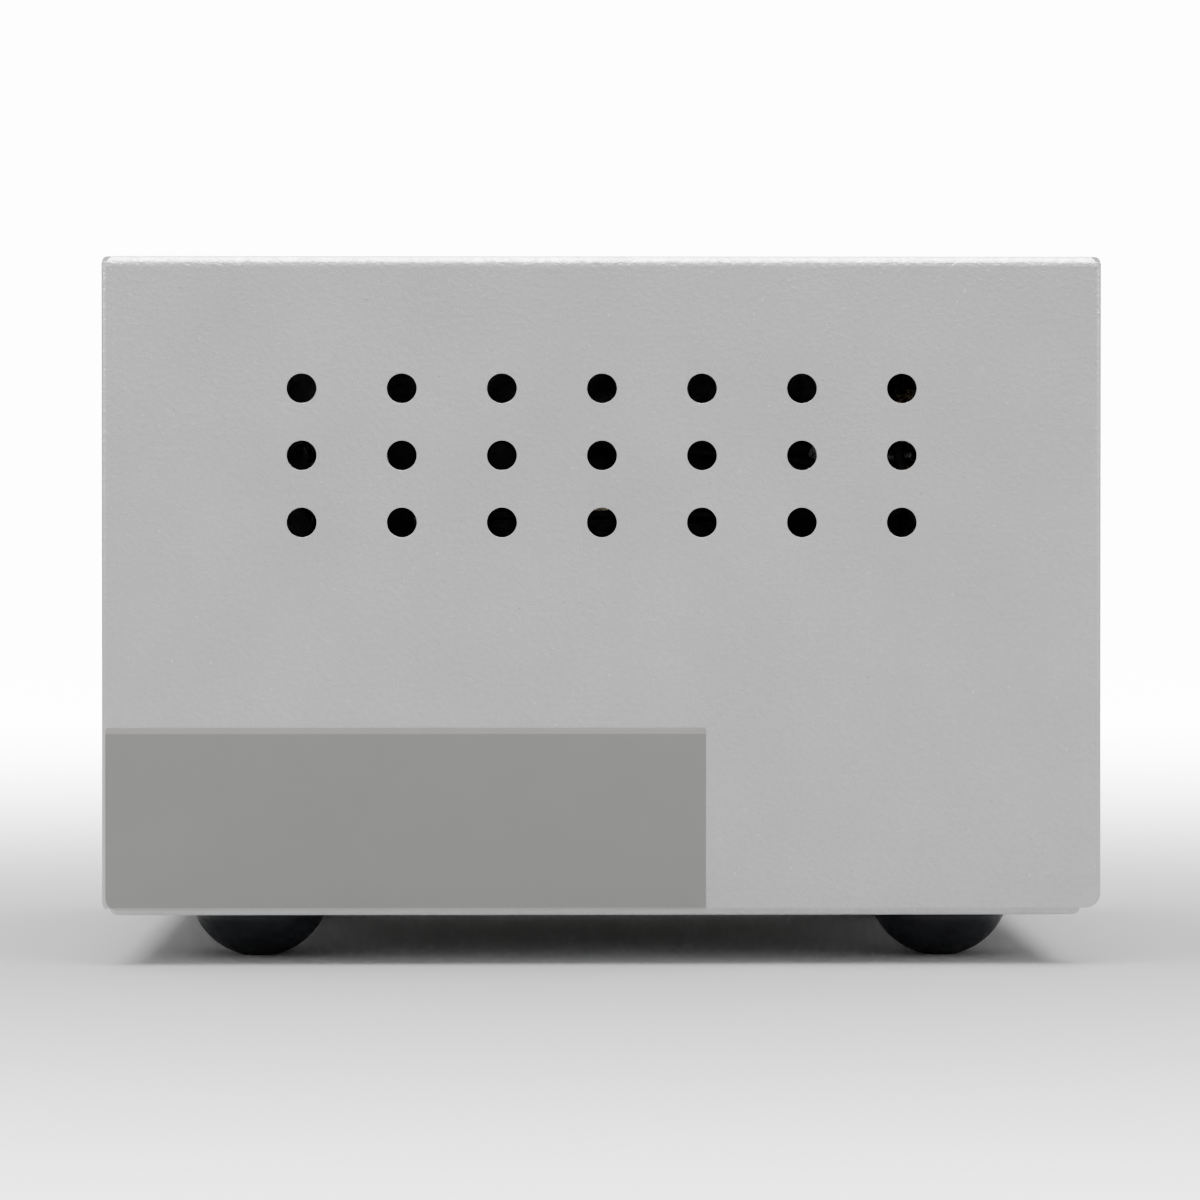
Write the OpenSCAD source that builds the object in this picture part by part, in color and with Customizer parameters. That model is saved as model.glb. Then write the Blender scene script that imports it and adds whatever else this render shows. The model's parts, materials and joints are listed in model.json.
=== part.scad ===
// Bench isolation transformer: a laminated core and coil in a folded sheet-steel case on rubber feet.
// All sizes are in millimetres. The front faces -Y, the rear +Y, and the feet stand on z = 0.

/* [Case] */
// Space for wiring between the core and each end of the case
end_space = 40; // [38:1:60]
// Least space beside the core, at each side of the case
side_space = 54; // [50:1:70]
// Air space above the core
head_space = 30.5; // [28:0.5:60]
// Sheet thickness of the cover
cover_t = 1.2; // [0.8:0.1:1.5]
// Sheet thickness of the chassis and of the front panel
chassis_t = 1.5; // [1.2:0.1:2]
// Outer radius of the two long top bends of the cover
top_bend_r = 2.4; // [2:0.1:4]
// Outer radius of the bends at both ends of the cover
end_bend_r = 1.2; // [1:0.1:2.4]
// Width of the lips that frame both ends of the cover
end_lip_w = 7; // [4:0.5:8]
// Radius of the lower corners of the cover's sides
side_corner_r = 3.2; // [2:0.1:5]
// Depth of the notch where three bends of the cover meet
notch_h = 1.35; // [1:0.05:2]
// Length of that notch at its full depth, before its 45 degree slope
notch_l = 0.9; // [0.5:0.1:1.5]
// Depth of the rear panel and front panel behind the ends of the cover
panel_recess = 4.1; // [4:0.1:8]
// Depth of the front lip of the chassis behind the end of the cover
front_lip_recess = 1.6; // [1.6:0.1:2.4]
// Height of the rim around the chassis, from the underside
chassis_rim_h = 12; // [9:0.5:14]
// Depth of the stiffening returns of the rear panel and front panel
panel_return = 10; // [6:0.5:12]

/* [Vent holes] */
// Diameter of a vent hole
vent_d = 6; // [4:0.1:8]
// Vent holes in a row
vent_cols = 7; // [3:1:8]
// Rows of vent holes
vent_rows = 3; // [1:1:3]
// Distance between vent holes in a row
vent_pitch_y = 20; // [16:0.5:22]
// Distance between rows
vent_pitch_z = 13.4; // [10:0.1:15]
// Height of the right side's middle row above the underside of the case
vent_mid_h = 92.1; // [80:0.1:100]
// Height of the left side's middle row, where cool air comes in
intake_mid_h = 40; // [32:0.5:60]

/* [Feet and label] */
// Height of a foot
foot_h = 10; // [8:0.5:12]
// Radius of the ball that a foot is cut from
foot_ball_r = 14.6; // [12:0.1:16]
// Height by which the ball is cut flat where it stands
foot_flat = 0.8; // [0.7:0.1:1.5]
// Distance from the side of the case to the middle of a foot
foot_inset_x = 30.5; // [26:0.5:36]
// Distance from the end of the case to the middle of a foot
foot_inset_y = 30; // [26:0.5:32]
// Length of the bare label
label_l = 120; // [60:1:150]
// Height of the bare label
label_h = 35.6; // [20:0.1:45]
// Thickness of the label
label_t = 0.15; // [0.1:0.05:0.3]
// Gap from the front end of the case to the label
label_inset = 0.8; // [0.5:0.1:5]
// Gap from the underside of the case to the label
label_rise = 1.7; // [1.6:0.1:5]

/* [Core and coil] */
// Length of the E and I sheets of the core, which sets their other sizes
core_l = 120; // [102:6:150]
// Thickness of the stack of laminations
stack_t = 52; // [44:1:70]
// Wall of the bobbin
bobbin_t = 1.5; // [1.2:0.1:2]
// Gap between the coil and the outer legs of the core
coil_gap = 3; // [1:0.1:4]
// Thickness of each insulation layer between the windings
insulation_t = 0.6; // [0.4:0.1:0.8]
// Thickness of the copper shield
shield_t = 0.4; // [0.2:0.1:0.5]
// Thickness of the outer wrap of tape
tape_t = 0.8; // [0.5:0.1:1]
// Thickness of the brackets and clamp bars
bracket_t = 2.5; // [2:0.1:3]

/* [Sockets and switches] */
// Width of the connector face that an outlet or inlet takes
plug_w = 24; // [23:0.1:24.5]
// Height of that connector face
plug_h = 16.4; // [16:0.1:17]
// Leg of its two bevelled corners
plug_bevel = 4.6; // [4:0.1:5]
// Length of the connector that goes in
plug_depth = 16; // [14:0.5:17]
// Number of outlets across the rear panel
outlet_count = 4; // [1:1:4]
// Swing of the rocker from off to on, in degrees
rocker_throw = 10; // [6:0.5:10]
// Travel of the voltage selector
selector_travel = 5; // [3:0.5:6]

/* [Hidden] */

$fn = 48;

// Overrun of every cut past the face it cuts
over = 1;
// Gap between the cover and the chassis inside it
cover_gap = 0.1;
// Gap between the panels and the top of the cover
top_gap = 0.3;
// Gap beside a panel, a cut-out's body or a flange
fit_gap = 0.2;
// Gap around a piece that slides or tilts
move_gap = 0.3;
// Radial gap of a running pin and of a screw in its nut
run_gap = 0.05;
// Radial gap of a screw in its hole
hole_gap = 0.15;

// Legs, yokes and height of a sheet, in the proportions that leave no scrap when E and I sheets are cut
yoke_w = core_l / 6;
tongue_w = core_l / 3;
core_h = core_l * 5 / 6;

// Row of outlets, which sets the width of the case unless the core does
moat_w = 2.2;
socket_wall = 1.2;
socket_lip = 2.1;
outlet_gap = 2.2;
socket_w = plug_w + 2 * (moat_w + socket_wall);
socket_flange_w = socket_w + 2 * socket_lip;
outlet_row = outlet_count * (socket_flange_w + outlet_gap) + outlet_gap;

// Overall sizes of the case
window_w = max(outlet_row, stack_t + 2 * side_space - 2 * end_lip_w);
case_w = window_w + 2 * end_lip_w;
case_l = core_l + 2 * end_space;
case_h = chassis_t + core_h + head_space;

// Levels and planes of the case
base_z0 = foot_h;
base_z1 = foot_h + chassis_t;
case_top = foot_h + case_h;
cover_z0 = base_z1;
inner_top = case_top - cover_t;
panel_top = inner_top - top_gap;
chassis_w = case_w - 2 * (cover_t + cover_gap);
chassis_bend_r = chassis_t + 0.1 * chassis_t;
rear_face = case_l / 2 - panel_recess;
front_face = -case_l / 2 + panel_recess;
front_lip_face = -case_l / 2 + front_lip_recess;
rear_inside = rear_face - chassis_t;
front_inside = front_face + chassis_t;
rim_relief = 2;
front_panel_w = chassis_w - 2 * (chassis_t + fit_gap);

// Screws: diameter, head and nut sizes
m3 = 3;
m3_head = 6;
m3_pan_h = 2.2;
m3_sunk = m3 + 2 * chassis_t;
m3_nut_af = 5.5;
m3_nut_h = 2.4;
m5 = 5;
m5_sunk = m5 + 2 * chassis_t;
m5_nut_af = 8;
m5_nut_h = 4;
m6 = 6;
m6_head_af = 10;
m6_head_h = 4;
m6_washer_d = 12;
m6_washer_t = 1.2;
screw_tip = 1;
drive_w = 0.9;
drive_share = 0.6;

// Places of the feet, the cover's tabs and the front panel's screws
foot_x = case_w / 2 - foot_inset_x;
foot_y = case_l / 2 - foot_inset_y;
foot_seat = 3;
foot_recess_r = m3_head / 2 + 2 * hole_gap;
tab_inset = 54;
tab_y = case_l / 2 - tab_inset;
tab_w = 14;
tab_depth = 14;
tab_slot_gap = 0.6;
panel_screw_inset = 32.5;
panel_screw_x = case_w / 2 - panel_screw_inset;
panel_foot = 12;

// Core and coil
window_y0 = tongue_w / 2;
window_y1 = core_l / 2 - yoke_w;
bolt_y = core_l / 2 - yoke_w / 2;
low_bolt_z = base_z1 + yoke_w / 2;
high_bolt_z = base_z1 + core_h - yoke_w / 2;
bobbin_gap = 0.3;
bobbin_x = stack_t / 2 + bobbin_gap + bobbin_t;
bobbin_y = tongue_w / 2 + bobbin_gap + bobbin_t;
bobbin_r = bobbin_t;
bobbin_z0 = base_z1 + yoke_w + bobbin_gap;
bobbin_z1 = base_z1 + core_h - yoke_w - bobbin_gap;
coil_z0 = bobbin_z0 + bobbin_t;
coil_z1 = bobbin_z1 - bobbin_t;
copper_build = window_y1 - coil_gap - bobbin_y - 2 * insulation_t - shield_t - tape_t;
primary_share = 0.52;
primary_t = primary_share * copper_build;
secondary_t = copper_build - primary_t;
layer_1 = primary_t;
layer_2 = layer_1 + insulation_t;
layer_3 = layer_2 + shield_t;
layer_4 = layer_3 + insulation_t;
layer_5 = layer_4 + secondary_t;
layer_6 = layer_5 + tape_t;
flange_x = bobbin_x + layer_6 + 1.5 * bobbin_t;
flange_y = window_y1 - bobbin_gap;
flange_r = 3;
shield_slit = 4;
tag_t = 0.8;
tag_w = 4;
tag_h = 8;
tag_inset = 3;
tag_margin = 9.7;
tag_spread = 2 * (flange_y - tag_margin);
cutout_w = 16;
cutout_h = 8;
cutout_t = 4;
bracket_h = 0.95 * yoke_w;
bracket_foot = 18;
mount_bolt_edge = 7;
mount_bolt_x = stack_t / 2 + bracket_foot - mount_bolt_edge;
mount_bolt_inset = 26;
mount_bolt_y = core_l / 2 - mount_bolt_inset;
clamp_h = 15;
clamp_z0 = base_z1 + core_h - clamp_h - fit_gap;

// Outlets
socket_flange_t = 2;
socket_flange_r = 2;
socket_depth = 22;
socket_h = plug_h + 2 * (moat_w + socket_wall);
socket_flange_h = socket_h + 1.8 * socket_lip;
outlet_drop = 30;
outlet_z = case_top - outlet_drop;
outlet_pitch = (window_w - outlet_gap) / outlet_count;
pole_x = 7;
pole_z = 2;
slot_w = 2.6;
slot_h = 4.6;
leaf_t = 0.5;
leaf_gap = 2;
blade_t = 0.8;
blade_w = 6.3;
blade_l = 8;
latch_w = 8;
latch_t = 1;
latch_l = 5;
bar_t = 1;
bar_h = 5;
bar_drop = 9;
bar_step = 3;
finger_w = 5;

// Inlet and fuse drawer
inlet_inset = 37.5;
inlet_x = case_w / 2 - inlet_inset;
inlet_rise = 45;
inlet_z = base_z1 + inlet_rise;
inlet_wall = 3.1;
inlet_ear = 9.5;
inlet_flange_h = 41;
inlet_flange_t = 2;
inlet_flange_r = 4;
cavity_gap = 0.4;
inlet_w = plug_w + 2 * (cavity_gap + inlet_wall);
inlet_h = 37;
inlet_flange_w = inlet_w + 2 * inlet_ear;
inlet_depth = 24;
inlet_screw_x = inlet_w / 2 + 0.48 * inlet_ear;
cavity_rise = 7.5;
pin_t = 2;
pin_w = 4;
pin_set_back = 3.5;
earth_pin_lead = 1;
pin_root = 4;
drawer_drop = 11.6;
drawer_w = 22.4;
drawer_h = 8.4;
drawer_l = 23.5;
drawer_face_t = 2;
drawer_grip_w = 9;
drawer_grip_h = 1.2;
drawer_grip_d = 1;
drawer_stand = 0.4;
fuse_d = 5.2;
fuse_l = 20;
fuse_cap_l = 4.8;
fuse_tube_d = 4.8;
fuse_x = 5;
fuse_gap = 0.15;

// Voltage selector
selector_inset = 44.5;
selector_x = selector_inset - case_w / 2;
selector_z = inlet_z;
selector_flange_t = 1.2;
selector_flange_r = 1.5;
selector_body_w = 23;
selector_body_h = 13;
selector_depth = 13;
selector_screw_gap = 3.5;
selector_ear = 4;
selector_rim = 1.5;
selector_screw_x = selector_body_w / 2 + selector_screw_gap;
selector_flange_w = 2 * (selector_screw_x + selector_ear);
selector_flange_h = selector_body_h + 2 * selector_rim;
slider_w = 8;
slider_h = 6.4;
slider_set_back = 0.2;
slider_floor = 6;
slider_wing = 1;
slider_wing_t = 1.6;
slider_groove_w = 1.4;
slider_groove_d = 1.2;
selector_blade_w = 4.8;
selector_blade_l = 6;
selector_blade_x = 6;

// Power switch
switch_inset = 36.5;
switch_x = case_w / 2 - switch_inset;
switch_rise = 64.5;
switch_z = base_z1 + switch_rise;
switch_bezel_t = 1.6;
switch_bezel_r = 2;
switch_w = 21.6;
switch_h = 29.2;
switch_wall = 1.6;
switch_rim_w = 1.7;
switch_rim_h = 1.2;
switch_bezel_w = switch_w + 2 * switch_rim_w;
switch_bezel_h = switch_h + 2 * switch_rim_h;
switch_depth = 20;
switch_floor = 12;
rocker_w = switch_w - 2 * switch_wall;
rocker_half = 12.8;
rocker_valley = 4.2;
rocker_root_half = 9;
rocker_root = 7;
rocker_sink = 0.2;
rocker_end = rocker_valley + rocker_half * tan(rocker_throw / 2);
rocker_reach = rocker_half * cos(rocker_throw / 2) + rocker_end * sin(rocker_throw / 2);
rocker_axis = switch_bezel_t - rocker_sink - rocker_valley * cos(rocker_throw / 2);
trunnion_d = 2.4;
trunnion_l = 1.2;
window_l = 8;
window_s = 2.4;
window_t = 1;
window_at = 8.2;
switch_blade_x = 5;
switch_blade_z = 7;

// Earth stud
stud_inset_x = 56.5;
stud_inset_y = 20;
stud_x = case_w / 2 - stud_inset_x;
stud_y = case_l / 2 - stud_inset_y;
stud_h = 14;
lug_t = 0.8;
lug_d = 9;
lug_tail = 2;
lug_turns = [-45, -10, 25];
lug_pitch = lug_t + run_gap;
barrel_d = 3.4;
barrel_l = 6;

// Leads: diameter, sides and steps of each rounded corner
lead_d = 2.4;
lead_sides = 8;
corner_steps = 4;
corner_r = 7;
lead_run = 12;
tag_run = 8;
lead_clear = 4;
lane_step = lead_d + 0.35 * lead_d;
lane_x = foot_x + m3_nut_af / 2 + 1.7 * lead_d;
lane_z = base_z1 + lead_d / 2 + run_gap;
middle_z = (lane_z + inlet_z) / 2;
over_core_z = base_z1 + core_h + lead_d / 2 + move_gap;
pass_x = stack_t / 2 + bracket_t + m6_washer_t + m6_head_h + screw_tip + lead_d;
side_x = chassis_w / 2 - chassis_t - 2 * lead_clear;

// Shapes that several pieces share

// Rounded rectangle, centred
module round_rect(w, h, r) {
    square([w - 2 * r, h], center = true);
    square([w, h - 2 * r], center = true);
    for (x = [-1, 1]) for (y = [-1, 1]) translate([x * (w / 2 - r), y * (h / 2 - r)]) circle(r);
}

// A flat outline of X and Z, given its thickness along Y from y0 to y1
module across(y0, y1) {
    translate([0, y1, 0]) rotate([90, 0, 0]) linear_extrude(height = y1 - y0) children();
}

// What a bend of radius r removes outside the corner of a flat outline
module bend_waste(r) {
    difference() {
        translate([-r, -r]) square([r + over, r + over]);
        translate([-r, -r]) circle(r);
    }
}

// The same waste, laid along Y for an edge at +X and -Z
module low_side_waste(l, r) {
    rotate([90, 0, 0]) linear_extrude(height = l, center = true) mirror([0, 1]) bend_waste(r);
}

// The same waste, laid along X for an edge at +Y and -Z
module low_end_waste(l, r) {
    rotate([90, 0, 90]) linear_extrude(height = l, center = true) mirror([0, 1]) bend_waste(r);
}

// A box by its lowest and highest corners
module block(low, high) {
    translate(low) cube(high - low);
}

// Cross slot in the head of a screw that points up
module cross_slot(head, depth) {
    for (turn = [0, 90]) rotate([0, 0, turn])
        translate([-head * drive_share / 2, -drive_w / 2, -over]) cube([head * drive_share, drive_w,
            depth + over]);
}

// Countersunk screw, its head's flat face at z = 0 and its shank upwards
module flat_screw(d, head, l) {
    difference() {
        union() {
            cylinder(h = (head - d) / 2, d1 = head, d2 = d);
            cylinder(h = l, d = d);
        }
        cross_slot(head, (head - d) / 3);
    }
}

// The hole that such a screw goes in, with its countersink
module flat_screw_hole(d, head, t) {
    wide = head + 2 * hole_gap;
    narrow = d + 2 * hole_gap;
    translate([0, 0, -over]) cylinder(h = t + 2 * over, d = narrow);
    cylinder(h = (wide - narrow) / 2, d1 = wide, d2 = narrow);
    translate([0, 0, -over]) cylinder(h = over, d = wide);
}

// Pan-head screw, the underside of its head at z = 0 and its shank upwards
module pan_screw(d, head, head_h, l) {
    difference() {
        union() {
            translate([0, 0, -head_h]) cylinder(h = head_h, d = head);
            cylinder(h = l, d = d);
        }
        translate([0, 0, -head_h]) cross_slot(head, head_h / 2);
    }
}

// Six-sided nut standing on z = 0
module hex_nut(d, af, h) {
    difference() {
        cylinder(h = h, d = af / cos(30), $fn = 6);
        translate([0, 0, -over]) cylinder(h = h + 2 * over, d = d + 2 * run_gap);
    }
}

module m3_nut() { hex_nut(m3, m3_nut_af, m3_nut_h); }

// Places something at all four mirrored places of x and y
module at_four(x, y) {
    for (sx = [-1, 1]) for (sy = [-1, 1]) translate([sx * x, sy * y, 0]) children();
}

// Puts something on the rear panel, outwards being +Y
module on_rear(x, z) {
    translate([x, rear_face, z]) children();
}

// Puts something on the front panel, outwards being -Y
module on_front(x, z) {
    translate([x, front_face, z]) rotate([0, 0, 180]) children();
}

// Case

module wrap_outline(inset, low) {
    w = case_w - 2 * inset;
    top = case_top - inset;
    r = top_bend_r - inset;
    translate([-w / 2, low]) square([w, top - r - low]);
    translate([-w / 2 + r, low]) square([w - 2 * r, top - low]);
    for (side = [-1, 1]) translate([side * (w / 2 - r), top - r]) circle(r);
}

// Holes of one side of the cover: side is 1 for the right, -1 for the left
module vent_holes(side, mid_h) {
    for (row = [0 : vent_rows - 1]) for (col = [0 : vent_cols - 1])
        translate([side * case_w / 2, (col - (vent_cols - 1) / 2) * vent_pitch_y,
                   base_z0 + mid_h + ((vent_rows - 1) / 2 - row) * vent_pitch_z])
            rotate([0, 90, 0]) cylinder(h = 2 * (cover_t + over), d = vent_d, center = true);
}

// Mitre slit between the top lip and a side lip, at one top corner of the +Y end
module lip_slit() {
    slit_w = cover_t / 2;
    translate([case_w / 2, case_l / 2 - end_bend_r, case_top]) rotate([0, 45, 0])
        translate([-slit_w / 2, 0, -end_lip_w * 2]) cube([slit_w, end_bend_r + over, end_lip_w * 2 +
            over]);
}

module cover_tab() {
    difference() {
        block([case_w / 2 - cover_t / 2 - tab_depth, -tab_w / 2, cover_z0],
              [case_w / 2 - cover_t / 2, tab_w / 2, cover_z0 + cover_t]);
        translate([cover_screw_x(), 0, cover_z0 - over])
            cylinder(h = cover_t + 2 * over, d = m3 + 2 * hole_gap);
    }
}

function cover_screw_x() = case_w / 2 - cover_t / 2 - tab_depth / 2 - cover_t;

module cover() {
    color([0.86, 0.86, 0.86]) {
        difference() {
            across(-case_l / 2, case_l / 2) wrap_outline(0, cover_z0);
            across(-case_l / 2 + cover_t, case_l / 2 - cover_t) wrap_outline(cover_t, cover_z0 - over);
            block([-window_w / 2, -case_l / 2 - over, cover_z0 - over],
                  [window_w / 2, case_l / 2 + over, case_top - end_lip_w]);
            vent_holes(1, vent_mid_h);
            vent_holes(-1, intake_mid_h);
            for (side = [0, 1]) for (end = [0, 1]) mirror([side, 0, 0]) mirror([0, end, 0]) {
                translate([case_w / 2, case_l / 2, 0]) linear_extrude(height = case_top + over)
                    bend_waste(end_bend_r);
                translate([0, case_l / 2, end == 1 ? base_z0 : cover_z0])
                    low_end_waste(case_w + over, side_corner_r);
                translate([0, case_l / 2, case_top]) mirror([0, 0, 1]) low_end_waste(case_w + over,
                    end_bend_r);
                corner_cut();
                lip_slit();
            }
        }
        for (side = [0, 1]) for (end = [-1, 1]) mirror([side, 0, 0]) translate([0, end * tab_y, 0])
            cover_tab();
    }
}

// Relief notch at one top corner of the +Y end: a ledge, then a 45 degree slope
module corner_cut() {
    translate([case_w / 2 - top_bend_r, case_l / 2, case_top]) rotate([90, 0, 90])
        linear_extrude(height = top_bend_r + over)
            polygon([[over, -notch_h], [-notch_l, -notch_h], [-notch_l - notch_h - over, over],
                     [over, over]]);
}

module chassis_blank() {
    block([-chassis_w / 2, front_lip_face, base_z0], [chassis_w / 2, rear_face, base_z1]);
    block([-chassis_w / 2, rear_inside, base_z0], [chassis_w / 2, rear_face, panel_top]);
    block([-chassis_w / 2, front_lip_face, base_z0],
          [chassis_w / 2, front_lip_face + chassis_t, base_z0 + chassis_rim_h]);
    for (side = [0, 1]) mirror([side, 0, 0]) {
        block([chassis_w / 2 - chassis_t, front_lip_face + chassis_t + rim_relief, base_z0],
              [chassis_w / 2, rear_inside - rim_relief, base_z0 + chassis_rim_h]);
        block([chassis_w / 2 - chassis_t, rear_inside - panel_return, base_z0 + chassis_rim_h +
            rim_relief],
              [chassis_w / 2, rear_face, panel_top - rim_relief]);
    }
    block([-chassis_w / 2 + chassis_t + rim_relief, rear_inside - panel_return, panel_top - chassis_t],
          [chassis_w / 2 - chassis_t - rim_relief, rear_face, panel_top]);
}

module chassis() {
    color([0.8, 0.8, 0.8]) difference() {
        chassis_blank();
        for (side = [0, 1]) mirror([side, 0, 0])
            translate([chassis_w / 2, 0, base_z0]) low_side_waste(case_l, chassis_bend_r);
        translate([0, rear_face, base_z0]) low_end_waste(case_w, chassis_bend_r);
        for (side = [-1, 1]) translate([side * chassis_w / 2, rear_face, panel_top]) rotate([0, 45, 0])
            cube([top_bend_r, case_l, top_bend_r], center = true);
        translate([0, front_lip_face, base_z0]) mirror([0, 1, 0]) low_end_waste(case_w, chassis_bend_r);
        for (side = [0, 1]) for (end = [-1, 1]) mirror([side, 0, 0])
            block([chassis_w / 2 - chassis_t - over, end * tab_y - tab_w / 2 - tab_slot_gap, base_z1],
                  [chassis_w / 2 + over, end * tab_y + tab_w / 2 + tab_slot_gap, base_z0 +
                      chassis_rim_h + over]);
        at_four(foot_x, foot_y) translate([0, 0, base_z0 - over])
            cylinder(h = chassis_t + 2 * over, d = m3 + 2 * hole_gap);
        at_four(cover_screw_x(), tab_y) translate([0, 0, base_z0]) flat_screw_hole(m3, m3_sunk, chassis_t);
        at_four(mount_bolt_x, mount_bolt_y) translate([0, 0, base_z0]) flat_screw_hole(m5, m5_sunk,
            chassis_t);
        for (x = [-1, 0, 1]) translate([x * panel_screw_x, panel_screw_y(), base_z0])
            flat_screw_hole(m3, m3_sunk, chassis_t);
        translate([stud_x, stud_y, base_z0 - over]) cylinder(h = chassis_t + 2 * over, d = m5 +
            2 * run_gap);
        for (i = [0 : outlet_count - 1]) on_rear(outlet_x(i), outlet_z)
            across(-chassis_t - over, over) square([socket_w + 2 * fit_gap, socket_h + 2 * fit_gap],
                center = true);
        on_rear(inlet_x, inlet_z) {
            across(-chassis_t - over, over) square([inlet_w + 2 * fit_gap, inlet_h + 2 * fit_gap],
                center = true);
            rear_screw_holes(inlet_screw_x);
        }
        on_rear(selector_x, selector_z) {
            across(-chassis_t - over, over)
                square([selector_body_w + 2 * fit_gap, selector_body_h + 2 * fit_gap], center = true);
            rear_screw_holes(selector_screw_x);
        }
    }
}

module rear_screw_holes(x) {
    for (side = [-1, 1]) translate([side * x, over, 0]) rotate([90, 0, 0])
        cylinder(h = chassis_t + 2 * over, d = m3 + 2 * hole_gap);
}

function outlet_x(i) = (i - (outlet_count - 1) / 2) * outlet_pitch;
function panel_screw_y() = front_inside + panel_foot * 0.55;

module front_panel() {
    w = front_panel_w;
    color([0.86, 0.86, 0.86]) difference() {
        union() {
            block([-w / 2, front_face, base_z1], [w / 2, front_inside, panel_top]);
            block([-w / 2, front_face, base_z1], [w / 2, front_inside + panel_foot, base_z1 + chassis_t]);
            block([-w / 2 + chassis_t + rim_relief, front_face, panel_top - chassis_t],
                  [w / 2 - chassis_t - rim_relief, front_inside + panel_return, panel_top]);
            for (side = [0, 1]) mirror([side, 0, 0])
                block([w / 2 - chassis_t, front_face, base_z0 + chassis_rim_h + rim_relief],
                      [w / 2, front_inside + panel_return, panel_top - rim_relief]);
        }
        for (x = [-1, 0, 1]) translate([x * panel_screw_x, panel_screw_y(), base_z1 - over])
            cylinder(h = chassis_t + 2 * over, d = m3 + 2 * hole_gap);
        on_front(switch_x, switch_z) across(-chassis_t - over, over)
            square([switch_w + 2 * fit_gap, switch_h + 2 * fit_gap], center = true);
    }
}

module rating_label() {
    color([0.58, 0.58, 0.57]) block(
        [case_w / 2, -case_l / 2 + label_inset, base_z0 + label_rise],
        [case_w / 2 + label_t, -case_l / 2 + label_inset + label_l, base_z0 + label_rise + label_h]);
}

// Feet and their fixings

module foot(sx, sy) {
    color([0.1, 0.1, 0.12]) translate([sx * foot_x, sy * foot_y, 0]) difference() {
        intersection() {
            translate([0, 0, foot_ball_r - foot_flat]) sphere(r = foot_ball_r);
            cylinder(h = foot_h, r = foot_ball_r + over);
        }
        translate([0, 0, -over]) cylinder(h = foot_seat + over, r = foot_recess_r);
        translate([0, 0, -over]) cylinder(h = foot_h + 2 * over, d = m3 + 2 * hole_gap);
    }
}

module foot_front_left() { foot(-1, -1); }
module foot_front_right() { foot(1, -1); }
module foot_rear_left() { foot(-1, 1); }
module foot_rear_right() { foot(1, 1); }

module foot_screws() {
    color("silver") at_four(foot_x, foot_y) translate([0, 0, foot_seat])
        pan_screw(m3, m3_head, m3_pan_h, base_z1 - foot_seat + m3_nut_h + screw_tip);
}

module cover_screws() {
    color("silver") at_four(cover_screw_x(), tab_y) translate([0, 0, base_z0])
        flat_screw(m3, m3_sunk, chassis_t + cover_t + m3_nut_h + screw_tip);
}

module at_panel_screws() {
    for (x = [-1, 0, 1]) translate([x * panel_screw_x, panel_screw_y(), 0]) children();
}

module panel_screws() {
    color("silver") at_panel_screws() translate([0, 0, base_z0])
        flat_screw(m3, m3_sunk, 2 * chassis_t + m3_nut_h + screw_tip);
}

// Every M3 nut: of the feet, the cover, the front panel, the inlet and the voltage selector
module m3_nuts() {
    color("silver") {
        at_four(foot_x, foot_y) translate([0, 0, base_z1]) m3_nut();
        at_four(cover_screw_x(), tab_y) translate([0, 0, cover_z0 + cover_t]) m3_nut();
        at_panel_screws() translate([0, 0, base_z1 + chassis_t]) m3_nut();
        on_rear(inlet_x, inlet_z) rear_nuts(inlet_screw_x);
        on_rear(selector_x, selector_z) rear_nuts(selector_screw_x);
    }
}

// Core

module core_bolt_holes() {
    for (y = [-1, 1]) for (z = [low_bolt_z, high_bolt_z]) translate([0, y * bolt_y, z])
        rotate([0, 90, 0]) cylinder(h = case_w, d = m6 + 2 * hole_gap, center = true);
}

module e_laminations() {
    color([0.28, 0.28, 0.3]) difference() {
        union() {
            block([-stack_t / 2, -core_l / 2, base_z1], [stack_t / 2, core_l / 2, base_z1 + yoke_w]);
            block([-stack_t / 2, -tongue_w / 2, base_z1], [stack_t / 2, tongue_w / 2, base_z1 + core_h -
                yoke_w]);
            for (side = [0, 1]) mirror([0, side, 0])
                block([-stack_t / 2, window_y1, base_z1], [stack_t / 2, core_l / 2, base_z1 + core_h -
                    yoke_w]);
        }
        core_bolt_holes();
    }
}

module i_laminations() {
    color([0.3, 0.3, 0.32]) difference() {
        block([-stack_t / 2, -core_l / 2, base_z1 + core_h - yoke_w], [stack_t / 2, core_l / 2,
            base_z1 + core_h]);
        core_bolt_holes();
    }
}

module coil_layer(inner, outer) {
    translate([0, 0, coil_z0]) linear_extrude(height = coil_z1 - coil_z0) difference() {
        round_rect(2 * (bobbin_x + outer), 2 * (bobbin_y + outer), bobbin_r + outer);
        round_rect(2 * (bobbin_x + inner), 2 * (bobbin_y + inner), bobbin_r + inner);
    }
}

module bobbin() {
    color([0.9, 0.88, 0.8]) difference() {
        union() {
            translate([0, 0, bobbin_z0]) linear_extrude(height = bobbin_z1 - bobbin_z0)
                round_rect(2 * bobbin_x, 2 * bobbin_y, bobbin_r);
            for (z = [bobbin_z0, coil_z1]) translate([0, 0, z]) linear_extrude(height = bobbin_t)
                round_rect(2 * flange_x, 2 * flange_y, flange_r);
        }
        block([-bobbin_x + bobbin_t, -bobbin_y + bobbin_t, bobbin_z0 - over],
              [bobbin_x - bobbin_t, bobbin_y - bobbin_t, bobbin_z1 + over]);
    }
}

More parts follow.
